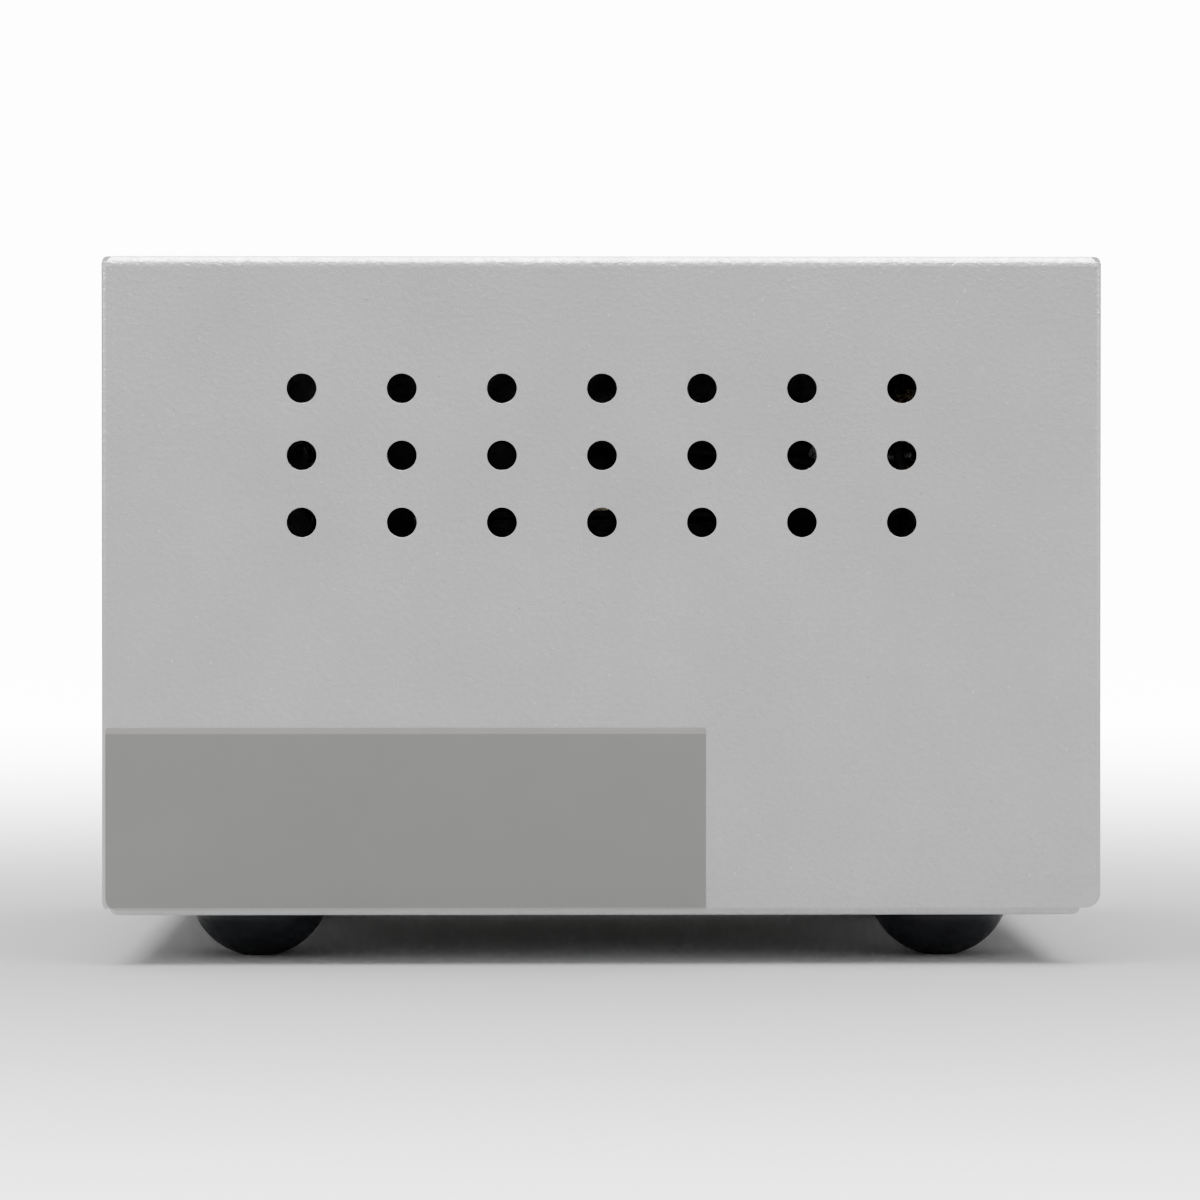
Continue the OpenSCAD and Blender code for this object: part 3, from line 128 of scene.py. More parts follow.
def between(tree, share, first, second):
    """Mixes two colours, or two linked colours, by a share."""
    mix = tree.nodes.new("ShaderNodeMix")
    mix.data_type = "RGBA"
    tree.links.new(share, mix.inputs["Factor"])
    for socket, colour in ((mix.inputs["A"], first), (mix.inputs["B"], second)):
        if isinstance(colour, bpy.types.NodeSocket):
            tree.links.new(colour, socket)
        else:
            socket.default_value = (*colour, 1)
    return mix.outputs["Result"]


def relief(tree, height, depth, under=None):
    """Bump of that depth, on top of another bump if one is given."""
    bump = tree.nodes.new("ShaderNodeBump")
    bump.inputs["Strength"].default_value = 1
    bump.inputs["Distance"].default_value = depth
    tree.links.new(height, bump.inputs["Height"])
    if under is not None:
        tree.links.new(under, bump.inputs["Normal"])
    return bump.outputs["Normal"]


def specks(tree, spacing, radius):
    """Small dots where the surface meets scattered points, which are about that far apart."""
    cells = tree.nodes.new("ShaderNodeTexVoronoi")
    cells.inputs["Scale"].default_value = 1 / spacing
    tree.links.new(object_place(tree), cells.inputs["Vector"])
    edge = radius / spacing
    return spread(tree, cells.outputs["Distance"], 0, 1, SPECK_RIM * edge, edge)


def scaled(colour, factor):
    """A colour made lighter or darker by a factor."""
    return tuple(min(1, part * factor) for part in colour)


def drifting(tree, patch, detail, colour, contrast):
    """A colour that drifts in patches between a darker and a lighter tone."""
    drift = spread(tree, noise(tree, patch, detail), 0, 1)
    return between(tree, drift, scaled(colour, 1 - contrast), scaled(colour, 1 + contrast))


def mottled(name, colour, roughness, metallic=0.0, patch=8 * MM, contrast=0.06,
            grain=0.5 * MM, depth=0.02 * MM, rough_spread=0.08):
    """A finish whose colour drifts in patches and whose surface has a fine grain."""
    finish, tree, shader = new_finish(name, roughness, metallic)
    tree.links.new(drifting(tree, patch, 4, colour, contrast), shader.inputs["Base Color"])
    rough = spread(tree, noise(tree, patch / 3), roughness - rough_spread, roughness + rough_spread)
    tree.links.new(rough, shader.inputs["Roughness"])
    tree.links.new(relief(tree, noise(tree, grain, 2), depth), shader.inputs["Normal"])
    return finish


# Finishes

# Powder coat: its clouds, its orange peel with the sand on it, its dark specks, and light specks that are
# painted glints
CLOUD_SIZE = 22 * MM
CLOUD_CONTRAST = 0.055
PEEL_SIZE = 1.1 * MM
PEEL_STRETCH = (1, 0.9, 1)
PEEL_DEPTH = 0.23 * MM
SAND_SIZE = 0.4 * MM
SAND_DEPTH = 0.11 * MM
DARK_SPECK_SPACING = 5 * MM
DARK_SPECK_RADIUS = 0.15 * MM
# Light specks that are painted glints on the orange peel: their spacing and radius
PAINTED_GLINT_SPACING = 4.3 * MM
PAINTED_GLINT_RADIUS = 0.2 * MM

# Core and coil: the lines of the sheets, the turns of wire, and the laps and creases of the tape
SHEET_PITCH = 1 * MM
SHEET_RELIEF = 0.08 * MM
TURN_PITCH = 1.8 * MM
TURN_RELIEF = 0.4 * MM
LAP_PITCH = 24 * MM
LAP_RELIEF = 0.25 * MM
CREASE_SIZE = 5 * MM
CREASE_STRETCH = (0.5, 0.5, 1.6)
CREASE_RELIEF = 0.7 * MM

# Leads: distance from the middle of the case to the ends of their sleeves, the sleeves' weave,
# and the scale of the earth lead's bands, which repeat about every 14 mm along X, Y or Z
SLEEVE_REACH = 64 * MM
SLEEVE_BLUR = 0.3 * MM
WEAVE_SIZE = 0.6 * MM
WEAVE_STRETCH = (1, 0.4, 1)
WEAVE_RELIEF = 0.05 * MM
BAND_SCALE = 45


def powder_coat(name, colour):
    """Fine-textured powder coat: orange peel, a finer sand on it, faint dark specks, and faint light specks
    that are painted glints.
    """
    finish, tree, shader = new_finish(name, 0.5)
    peel = noise(tree, PEEL_SIZE, 3, PEEL_STRETCH)
    sand = noise(tree, SAND_SIZE, 2)
    tone = drifting(tree, CLOUD_SIZE, 5, colour, CLOUD_CONTRAST)
    # Each share of the surface goes towards the coat's colour times its factor. The peel's share darkens the
    # coat in step with its relief, as painted shade of the orange peel, and the light specks are painted
    # glints
    for share, factor in (
            (spread(tree, peel, 0, 0.12), 0.5),
            (spread(tree, sand, 0, 1, 0.52, 0.72), 0.93),
            (specks(tree, DARK_SPECK_SPACING, DARK_SPECK_RADIUS), 0.7),
            (specks(tree, PAINTED_GLINT_SPACING, PAINTED_GLINT_RADIUS), 1.2)):
        tone = between(tree, share, tone, scaled(colour, factor))
    tree.links.new(tone, shader.inputs["Base Color"])
    tree.links.new(spread(tree, peel, 0.42, 0.6), shader.inputs["Roughness"])
    bumpy = relief(tree, peel, PEEL_DEPTH)
    tree.links.new(relief(tree, sand, SAND_DEPTH, bumpy), shader.inputs["Normal"])
    return finish


def foot_rubber():
    """Satin black rubber with a fine skin and a trace of dust."""
    finish, tree, shader = new_finish("foot_rubber", 0.5)
    dust = spread(tree, noise(tree, 3 * MM, 5), 0, 0.35, 0.45, 0.8)
    tone = between(tree, dust, (0.008, 0.0095, 0.013), (0.03, 0.032, 0.038))
    tree.links.new(tone, shader.inputs["Base Color"])
    rough = spread(tree, noise(tree, 1.5 * MM), 0.42, 0.6)
    tree.links.new(rough, shader.inputs["Roughness"])
    tree.links.new(relief(tree, noise(tree, 0.4 * MM, 2), 0.012 * MM), shader.inputs["Normal"])
    return finish


def label_film(name, colour, contrast):
    """Satin film, faintly uneven."""
    return mottled(name, colour, 0.45, patch=20 * MM, contrast=contrast, grain=0.3 * MM,
                   depth=0.004 * MM)


def laminated_steel():
    """Varnished sheets stacked along X, seen on edge as fine lines."""
    finish, tree, shader = new_finish("laminated_steel", 0.42, 0.7)
    lines = waves(tree, "X", WAVE_LENGTH / SHEET_PITCH, 0.3)
    drift = spread(tree, noise(tree, 12 * MM, 4), 0, 1)
    tone = between(tree, drift, (0.05, 0.052, 0.06), (0.11, 0.11, 0.12))
    rust = spread(tree, noise(tree, 2.5 * MM, 5), 0, 0.6, 0.6, 0.8)
    tone = between(tree, rust, tone, (0.12, 0.07, 0.045))
    tree.links.new(tone, shader.inputs["Base Color"])
    tree.links.new(spread(tree, drift, 0.35, 0.55, 0, 1), shader.inputs["Roughness"])
    tree.links.new(relief(tree, lines, SHEET_RELIEF), shader.inputs["Normal"])
    return finish


def wound_copper(name, colour):
    """Enamelled wire: turns that run round the coil and lie on each other along Z."""
    finish, tree, shader = new_finish(name, 0.28, 0.85)
    turns = waves(tree, "Z", WAVE_LENGTH / TURN_PITCH)
    # The wire is painted darker in the grooves between its turns: painted shade
    tree.links.new(between(tree, turns, scaled(colour, 0.35), colour), shader.inputs["Base Color"])
    tree.links.new(relief(tree, turns, TURN_RELIEF), shader.inputs["Normal"])
    tree.links.new(spread(tree, noise(tree, 5 * MM), 0.2, 0.36), shader.inputs["Roughness"])
    return finish


def plated(name, colour, roughness=0.3):
    """Bright plated metal with fine scratches and a little variation."""
    return mottled(name, colour, roughness, 1.0, patch=4 * MM, contrast=0.12, grain=0.25 * MM,
                   depth=0.006 * MM)


def moulded(name, colour, roughness=0.42, depth=0.012 * MM):
    """Moulded plastic with a fine eroded texture."""
    return mottled(name, colour, roughness, patch=9 * MM, contrast=0.1, grain=0.3 * MM, depth=depth)


def wrinkled_tape():
    """Black polyester tape with long creases, its laps one above the other."""
    finish, tree, shader = new_finish("coil_tape", 0.3)
    creases = noise(tree, CREASE_SIZE, 3, CREASE_STRETCH)
    # The tape is painted lighter on its raised creases and darker in their hollows: painted highlight and
    # painted shade
    tone = between(tree, creases, (0.045, 0.044, 0.054), (0.1, 0.097, 0.115))
    tree.links.new(tone, shader.inputs["Base Color"])
    tree.links.new(spread(tree, creases, 0.2, 0.42), shader.inputs["Roughness"])
    laps = waves(tree, "Z", WAVE_LENGTH / LAP_PITCH, 0.4, "SAW")
    stepped = relief(tree, laps, LAP_RELIEF)
    tree.links.new(relief(tree, creases, CREASE_RELIEF, stepped), shader.inputs["Normal"])
    return finish


def sleeve_over(tree, shader, tone):
    """Black woven sleeving over a lead, all but the ends at the front and rear of the case."""
    split = tree.nodes.new("ShaderNodeSeparateXYZ")
    tree.links.new(object_place(tree), split.inputs["Vector"])
    reach = tree.nodes.new("ShaderNodeMath")
    reach.operation = "ABSOLUTE"
    tree.links.new(split.outputs["Y"], reach.inputs[0])
    bare = spread(tree, reach.outputs["Value"], 0, 1, SLEEVE_REACH, SLEEVE_REACH + SLEEVE_BLUR)
    weave = noise(tree, WEAVE_SIZE, 2, WEAVE_STRETCH)
    sleeve = between(tree, weave, (0.012, 0.012, 0.013), (0.035, 0.035, 0.038))
    tree.links.new(between(tree, bare, sleeve, tone), shader.inputs["Base Color"])
    tree.links.new(spread(tree, bare, 0.6, 0.35, 0, 1), shader.inputs["Roughness"])
    tree.links.new(relief(tree, weave, WEAVE_RELIEF), shader.inputs["Normal"])


def sleeved_lead(name, colour):
    """Coloured insulation in a black sleeve between its ends."""
    finish, tree, shader = new_finish(name, 0.35)
    sleeve_over(tree, shader, drifting(tree, 6 * MM, 3, colour, 0.1))
    return finish


def striped_lead():
    """Green insulation with yellow bands, in a black sleeve between its ends."""
    finish, tree, shader = new_finish("green_lead", 0.35)
    share = spread(tree, waves(tree, "DIAGONAL", BAND_SCALE), 0, 1, 0.6, 0.7)
    sleeve_over(tree, shader, between(tree, share, (0.03, 0.2, 0.03), (0.7, 0.55, 0.02)))
    return finish


def crumpled_film():
    """Shiny film, dark where it has dulled."""
    finish, tree, shader = new_finish("crumpled_film", 0.16, 0.9)
    dull = spread(tree, noise(tree, 2 * MM, 5), 0, 1)
    tree.links.new(between(tree, dull, (0.5, 0.5, 0.52), (0.1, 0.1, 0.11)), shader.inputs["Base Color"])
    tree.links.new(spread(tree, dull, 0.1, 0.35, 0, 1), shader.inputs["Roughness"])
    tree.links.new(relief(tree, noise(tree, 0.7 * MM), 0.2 * MM), shader.inputs["Normal"])
    return finish


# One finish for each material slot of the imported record
finishes = {
    "powder_coat": powder_coat("powder_coat", (0.672, 0.672, 0.68)),
    "chassis_coat": powder_coat("chassis_coat", (0.63, 0.63, 0.637)),
    "label_film": label_film("label_film", (0.31, 0.31, 0.3), 0.02),
    "foot_rubber": foot_rubber(),
    "zinc_steel": plated("zinc_plate", (0.62, 0.62, 0.6)),
    "bracket_steel": mottled("bracket_enamel", (0.04, 0.04, 0.046), 0.34, patch=12 * MM,
                             contrast=0.15, grain=0.8 * MM, depth=0.03 * MM),
    "core_steel": laminated_steel(),
    "bobbin_nylon": moulded("bobbin_nylon", (0.04, 0.04, 0.045), 0.42, 0.02 * MM),
    "copper": wound_copper("wire_copper", (0.72, 0.3, 0.12)),
    "insulation_film": moulded("polyester_film", (0.72, 0.55, 0.2), 0.3, 0.02 * MM),
    "coil_tape": wrinkled_tape(),
    "cutout_plastic": moulded("cutout_plastic", (0.75, 0.74, 0.7)),
    "contact_brass": plated("tinned_brass", (0.75, 0.68, 0.48), 0.28),
    "black_plastic": with_value(moulded("black_plastic", (0.009, 0.009, 0.01)),
                                "Specular IOR Level", 0.35),
    "rocker_plastic": mottled("rocker_plastic", (0.009, 0.009, 0.0095), 0.3, patch=9 * MM,
                              contrast=0.1, grain=0.3 * MM, depth=0.003 * MM, rough_spread=0.02),
    "window_plastic": with_value(mottled("window_plastic", (0.05, 0.5, 0.12), 0.18, patch=3 * MM,
                                         contrast=0.15, grain=0.6 * MM, depth=0.01 * MM),
                                 "Transmission Weight", 0.4),
    "slider_plastic": moulded("slider_plastic", (0.5, 0.025, 0.015), 0.32),
    "fuse_glass": with_value(mottled("fuse_glass", (0.93, 0.96, 0.96), 0.08, patch=4 * MM,
                                     contrast=0.02, grain=2 * MM, depth=0.01 * MM,
                                     rough_spread=0.03),
                             "Transmission Weight", 0.95),
    "fuse_cap_metal": plated("nickel_cap", (0.72, 0.7, 0.66), 0.2),
    "brown_lead": sleeved_lead("brown_lead", (0.12, 0.045, 0.02)),
    "blue_lead": sleeved_lead("blue_lead", (0.02, 0.07, 0.3)),
    "green_lead": striped_lead(),
}

# Finishes of single pieces, or of some of their faces
sheet_copper = plated("sheet_copper", (0.85, 0.45, 0.28), 0.34)
# Painted shade: a dark finish for the cross recesses of screws, where little light reaches
recess_painted_shade = mottled("recess_painted_shade", (0.1, 0.1, 0.1), 0.6, 0.6, patch=0.6 * MM, contrast=0.3)
wrap_film = crumpled_film()
boot_vinyl = moulded("boot_vinyl", (0.03, 0.03, 0.032), 0.36, 0.02 * MM)
rim_film = label_film("label_rim", (0.46, 0.445, 0.43), 0.05)
white_ink = moulded("white_ink", (0.8, 0.8, 0.78), 0.4, 0.004 * MM)
special = {"electrostatic_shield": sheet_copper, "outlet_bars": sheet_copper}

slot_of = {part["node"]: part["material_slot"] for part in frame["record"]["subparts"]}
body_of = {node: body for body, nodes in frame["record"]["behaviour"]["bodies"].items() for node in nodes}


def finish_of(node):
    """The finish of a CAD part."""
    return special.get(node, finishes[slot_of[node]])


def dress(piece, finish):
    """Gives a piece that finish alone."""
    piece.data.materials.clear()
    piece.data.materials.append(finish)


# Modelling by hand

# A face looks one way when its normal reaches this far that way
FACING = 0.9

# Sides of a round primitive
ROUND_FACETS = 48


def only(piece):
    """Selects one piece and nothing else."""
    bpy.ops.object.select_all(action="DESELECT")
    piece.select_set(True)
    bpy.context.view_layer.objects.active = piece


def apply_modifier(piece, modifier):
    """Applies a modifier to its piece."""
    only(piece)
    bpy.ops.object.modifier_apply(modifier=modifier.name)


def pick(piece, kind, wanted):
    """In edit mode, selects the faces, edges or vertices of a piece that pass a test."""
    if bpy.context.mode != "OBJECT":
        bpy.ops.object.mode_set(mode="OBJECT")
    only(piece)
    bpy.ops.object.mode_set(mode="EDIT")
    bpy.ops.mesh.select_mode(type=kind)
    bpy.ops.mesh.select_all(action="DESELECT")
    bpy.ops.object.mode_set(mode="OBJECT")
    items = {"FACE": piece.data.polygons, "EDGE": piece.data.edges, "VERT": piece.data.vertices}
    for item in items[kind]:
        item.select = wanted(item)
    bpy.ops.object.mode_set(mode="EDIT")


def extrude(step):
    """In edit mode, extrudes what is selected by a step."""
    bpy.ops.mesh.extrude_region_move(TRANSFORM_OT_translate={"value": step})


def cut_across(axis, places):
    """In edit mode, cuts the whole piece square to an axis at each place along it."""
    normal = [float(number == axis) for number in range(3)]
    for place_on_axis in places:
        bpy.ops.mesh.select_all(action="SELECT")
        bpy.ops.mesh.bisect(plane_co=[part * place_on_axis for part in normal], plane_no=normal)


def paint_faces(piece, finish, wanted):
    """Gives a dressed piece a second finish, on the faces that pass a test."""
    piece.data.materials.append(finish)
    pick(piece, "FACE", wanted)
    piece.active_material_index = 1
    bpy.ops.object.material_slot_assign()
    bpy.ops.object.mode_set(mode="OBJECT")


def round_edges(piece, width, segments=2, angle=40):
    """Bevels every edge that is sharper than the angle."""
    bevel = piece.modifiers.new("soft edges", "BEVEL")
    bevel.width = width
    bevel.segments = segments
    bevel.limit_method = "ANGLE"
    bevel.angle_limit = math.radians(angle)
    bevel.use_clamp_overlap = True
    apply_modifier(piece, bevel)


def middle(piece, edge):
    """Middle of an edge."""
    first, last = (piece.data.vertices[number].co for number in edge.vertices)
    return (first + last) / 2


@functools.cache
def faces_at(piece):
    """Face normals on each edge of a piece."""
    normals = {}
    for face in piece.data.polygons:
        for key in face.edge_keys:
            normals.setdefault(tuple(sorted(key)), []).append(face.normal.copy())
    return normals


def edge_angle(piece, edge):
    """Angle between the two faces that meet at an edge."""
    faces = faces_at(piece).get(tuple(sorted(edge.vertices)), [])
    if len(faces) != 2:
        return 0
    return faces[0].angle(faces[1], 0)


def settle(piece, name, smooth_angle=35):
    """Ends the modelling: transforms applied, normals outwards, smooth where the angle is small."""
    bpy.ops.object.mode_set(mode="OBJECT")
    only(piece)
    bpy.ops.object.transform_apply(location=True, rotation=True, scale=True)
    bpy.ops.object.mode_set(mode="EDIT")
    bpy.ops.mesh.select_all(action="SELECT")
    bpy.ops.mesh.normals_make_consistent(inside=False)
    bpy.ops.object.mode_set(mode="OBJECT")
    bpy.ops.object.shade_smooth_by_angle(angle=math.radians(smooth_angle))
    piece.name = name
    return piece


def copy_at(piece, name, shift):
    """A copy with its own mesh, moved inside that mesh."""
    twin = piece.copy()
    twin.data = piece.data.copy()
    bpy.context.scene.collection.objects.link(twin)
    only(twin)
    twin.location = shift
    bpy.ops.object.transform_apply(location=True, rotation=False, scale=False)
    twin.name = name
    return twin


def place(piece, node):
    """Gives a finished piece the finish and the place of a CAD part."""
    dress(piece, finish_of(node))
    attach(piece, body_of[node])
    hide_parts(node)


def add_new(piece, finish, body):
    """Dresses and enters a new piece that stands for no CAD part."""
    dress(piece, finish)
    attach(piece, body)


# Copies of CAD parts with softened edges

# Corners nearer than this are joined, and faces flatter than this are made one
WELD = MM / 500
FLAT_ANGLE = math.radians(0.5)

# Edges up to this angle are shaded smooth
SOFT_ANGLE = math.radians(35)
WIRE_SOFT_ANGLE = math.radians(50)

# The rims of a lead's ends are sharper than this, and stay sharp
WIRE_END_ANGLE = math.radians(70)

# Length of the end of a solid that is measured as its tip
TIP_DEPTH = 0.5 * MM

# Faces of a screw's recess: this far below the head's top at least, and within this radius
RECESS_DEPTH = 0.25 * MM
RECESS_RADIUS = 1.7 * MM


def merged_copy(node):
    """A copy of a CAD part whose loose triangles are joined and whose flat faces are whole."""
    piece = frame["nodes"][node].copy()
    piece.data = piece.data.copy()
    for key in list(piece.keys()):
        del piece[key]
    piece.parent = None
    piece.name = node + "_finished"
    bpy.context.scene.collection.objects.link(piece)
    only(piece)
    bpy.ops.object.mode_set(mode="EDIT")
    bpy.ops.mesh.select_all(action="SELECT")
    bpy.ops.mesh.remove_doubles(threshold=WELD)
    bpy.ops.mesh.dissolve_limited(angle_limit=FLAT_ANGLE)
    bpy.ops.object.mode_set(mode="OBJECT")
    return piece


def keep_flats_flat(piece):
    """Shades large flat faces as flat, and only the narrow bevels between them as round."""
    flats = piece.modifiers.new("flat faces", "WEIGHTED_NORMAL")
    flats.mode = "FACE_AREA"
    flats.weight = 100
    flats.keep_sharp = True
    apply_modifier(piece, flats)


def soften(node, width, segments=2):
    """A copy of a CAD part with its sharp edges rounded."""
    piece = merged_copy(node)
    round_edges(piece, width, segments)
    bpy.ops.object.shade_smooth_by_angle(angle=SOFT_ANGLE)
    keep_flats_flat(piece)
    place(piece, node)
    return piece


def tips(node, toward):
    """Boxes round the ends of the separate solids of a CAD part, at the side they point to."""
    whole = merged_copy(node)
    only(whole)
    bpy.ops.mesh.separate(type="LOOSE")
    boxes = []
    for solid in list(bpy.context.selected_objects):
        points = [vertex.co for vertex in solid.data.vertices]
        far = max(point.dot(toward) for point in points)
        end = [point for point in points if point.dot(toward) > far - TIP_DEPTH]
        low = Vector([min(point[axis] for point in end) for axis in range(3)])
        high = Vector([max(point[axis] for point in end) for axis in range(3)])
        boxes.append((low, high))
        bpy.data.objects.remove(solid)
    return sorted(boxes, key=lambda box: tuple(box[0]))


def in_recess(spot, head, toward):
    """True below the top of a screw's head and near its axis."""
    low, high = head
    offset = spot - (low + high) / 2
    depth = max(low.dot(toward), high.dot(toward)) - spot.dot(toward)
    aside = (offset - offset.dot(toward) * toward).length
    return depth > RECESS_DEPTH and aside < RECESS_RADIUS


def soften_screws(node, width, toward):
    """Softened screws whose cross recess is painted dark, as painted shade."""
    heads = tips(node, toward)
    piece = soften(node, width)
    paint_faces(piece, recess_painted_shade,
                lambda face: any(in_recess(face.center, head, toward) for head in heads))


def round_lead(node):
    """A copy of the leads whose eight-sided wire is made round."""
    piece = merged_copy(node)
    pick(piece, "EDGE", lambda edge: edge_angle(piece, edge) > WIRE_END_ANGLE)
    bpy.ops.transform.edge_crease(value=1)
    bpy.ops.object.mode_set(mode="OBJECT")
    smooth = piece.modifiers.new("round wire", "SUBSURF")
    smooth.levels = 1
    smooth.render_levels = 1
    apply_modifier(piece, smooth)
    bpy.ops.object.shade_smooth_by_angle(angle=WIRE_SOFT_ANGLE)
    place(piece, node)


# Feet

FOOT_HEIGHT = 10 * MM
FOOT_BALL = 14.6 * MM
FOOT_FLAT = 0.45 * MM
FOOT_SEAT = 3 * MM
FOOT_EDGE = 0.12 * MM
FOOT_FACETS = 64
GROOVE_DROP = 0.9 * MM
GROOVE_HEIGHT = 0.5 * MM
GROOVE_DEPTH = 0.22 * MM
SCREW_RECESS = 3.3 * MM
SCREW_HOLE = 1.7 * MM

# Faces lower than this are the foot's flat, and corners lower than this are pressed onto the floor
FLAT_REACH = 0.01 * MM
FLOOR_SLACK = 0.001 * MM


def foot_shape():
    """A ball cut flat above and below, with a moulded groove and a stepped hole for its screw."""
    bpy.ops.object.select_all(action="DESELECT")
    bpy.ops.mesh.primitive_uv_sphere_add(segments=FOOT_FACETS, ring_count=FOOT_FACETS, radius=FOOT_BALL,
                                         location=(0, 0, FOOT_BALL - FOOT_FLAT))
    foot = bpy.context.object
    bpy.ops.object.transform_apply(location=True, rotation=False, scale=False)
    groove_top = FOOT_HEIGHT - GROOVE_DROP
    groove_low = groove_top - GROOVE_HEIGHT
    bpy.ops.object.mode_set(mode="EDIT")
    for height, cut_above, cut_below in ((FOOT_HEIGHT, True, False), (0, False, True)):
        bpy.ops.mesh.select_all(action="SELECT")
        bpy.ops.mesh.bisect(plane_co=(0, 0, height), plane_no=(0, 0, 1), use_fill=True,
                            clear_outer=cut_above, clear_inner=cut_below)
    cut_across(2, (groove_top, groove_low))
    bpy.ops.object.mode_set(mode="OBJECT")
    pick(foot, "FACE", lambda face: groove_low < face.center.z < groove_top and abs(face.normal.z) < FACING)
    bpy.ops.transform.shrink_fatten(value=-GROOVE_DEPTH)
    pick(foot, "FACE", lambda face: face.center.z < FLAT_REACH and face.normal.z < -FACING)
    flat_radius = math.sqrt(FOOT_BALL ** 2 - (FOOT_BALL - FOOT_FLAT) ** 2)
    for step in (flat_radius - SCREW_RECESS, SCREW_RECESS - SCREW_HOLE):
        bpy.ops.mesh.inset(thickness=step, use_even_offset=True)
        extrude((0, 0, FOOT_SEAT))
    bpy.ops.object.mode_set(mode="OBJECT")
    round_edges(foot, FOOT_EDGE, angle=30)
    pick(foot, "VERT", lambda vertex: vertex.co.z < FLOOR_SLACK)
    bpy.ops.transform.resize(value=(1, 1, 0), center_override=(0, 0, 0))
    return settle(foot, "foot_pattern", smooth_angle=40)


def feet():
    """The four feet, copied from one."""
    pattern = foot_shape()
    for node in ("foot_front_left", "foot_front_right", "foot_rear_left", "foot_rear_right"):
        low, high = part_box(node)
        foot = copy_at(pattern, node + "_rubber", ((low.x + high.x) / 2, (low.y + high.y) / 2, 0))
        place(foot, node)
    bpy.data.objects.remove(pattern)


# Label

# Heights of the lighter strips at the label's head and foot
LABEL_HEAD = 1.2 * MM
LABEL_FOOT = 0.5 * MM

# Growth past the CAD label, below and above
LABEL_BELOW = 0.5 * MM
LABEL_ABOVE = 0.35 * MM

# Corners: the lower front one is rounder than the others
LABEL_FRONT_CORNER = 2.4 * MM
LABEL_CORNER = 0.5 * MM
LABEL_CORNER_SEGMENTS = 8

# Its edge slopes up to its face, over this width and this height
LABEL_SLOPE = 0.06 * MM
LABEL_CROWN = 0.03 * MM

# Edges longer than this along X go through the label, and a square corner is sharper than this
THROUGH_LENGTH = 0.05 * MM
SQUARE_ANGLE = math.radians(80)

# The lower front corner is found within this distance of the label's lowest values
CORNER_REACH = 0.5 * MM


def corner_edge(piece, edge):
    """True for an edge through the thickness of the label, at a corner that is still square."""
    first, last = (piece.data.vertices[number].co for number in edge.vertices)
    return abs(first.x - last.x) > THROUGH_LENGTH and edge_angle(piece, edge) > SQUARE_ANGLE


def label():
    """A thin bare film with rounded corners, lighter in two strips at its head and foot."""
    low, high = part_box("rating_label")
    low.z -= LABEL_BELOW
    high += Vector((-LABEL_CROWN, 0, LABEL_ABOVE))
    bpy.ops.object.select_all(action="DESELECT")
    bpy.ops.mesh.primitive_cube_add(size=1, location=(low + high) / 2)
    film = bpy.context.object
    film.scale = high - low
    bpy.ops.object.transform_apply(location=True, rotation=False, scale=True)
    for at_front, offset in ((True, LABEL_FRONT_CORNER), (False, LABEL_CORNER)):
        faces_at.cache_clear()
        pick(film, "EDGE", lambda edge: corner_edge(film, edge)
             and at_front == ((middle(film, edge) - low).length < CORNER_REACH))
        bpy.ops.mesh.bevel(offset=offset, segments=LABEL_CORNER_SEGMENTS)
    bpy.ops.object.mode_set(mode="OBJECT")
    pick(film, "FACE", lambda face: face.normal.x > FACING)
    bpy.ops.mesh.inset(thickness=LABEL_SLOPE)
    bpy.ops.transform.translate(value=(LABEL_CROWN, 0, 0))
    cut_across(2, (low.z + LABEL_FOOT, high.z - LABEL_HEAD))
    bpy.ops.object.mode_set(mode="OBJECT")
    settle(film, "bare_label", smooth_angle=20)
    place(film, "rating_label")
    paint_faces(film, rim_film,
                lambda face: not low.z + LABEL_FOOT < face.center.z < high.z - LABEL_HEAD)


# Marks on the switch and the selector

# The rocker: its tilt at rest, its axis, the distance from there to its face, and the drop of its valley
ROCKER_TILT = math.radians(10)
ROCKER_AXIS = Vector((46 * MM, -93.116 * MM, 76 * MM))
ROCKER_FACE = 4.184 * MM
ROCKER_VALLEY_DROP = 0.366 * MM

# The marks: their thickness, a bar above the axis and a ring below it
MARK_THICKNESS = 0.08 * MM
BAR_WIDTH = 0.55 * MM
BAR_LENGTH = 3 * MM
BAR_RISE = 3.4 * MM
BAR_EDGE = 0.03 * MM
RING_RADIUS = 1.5 * MM
RING_WIDTH = 0.5 * MM
RING_DROP = 7.2 * MM
RING_EDGE = 0.02 * MM

# The selector's numbers: their places from its middle, and a digit's height as a share of the font size
SELECTOR_MIDDLE = Vector((-38 * MM, 0, 56.5 * MM))
VOLTS_ASIDE = 6.2 * MM
VOLTS_RISE = 5.7 * MM
VOLTS_HEIGHT = 1.9 * MM
VOLTS_THICKNESS = 0.03 * MM
HEIGHT_SHARE = 0.7


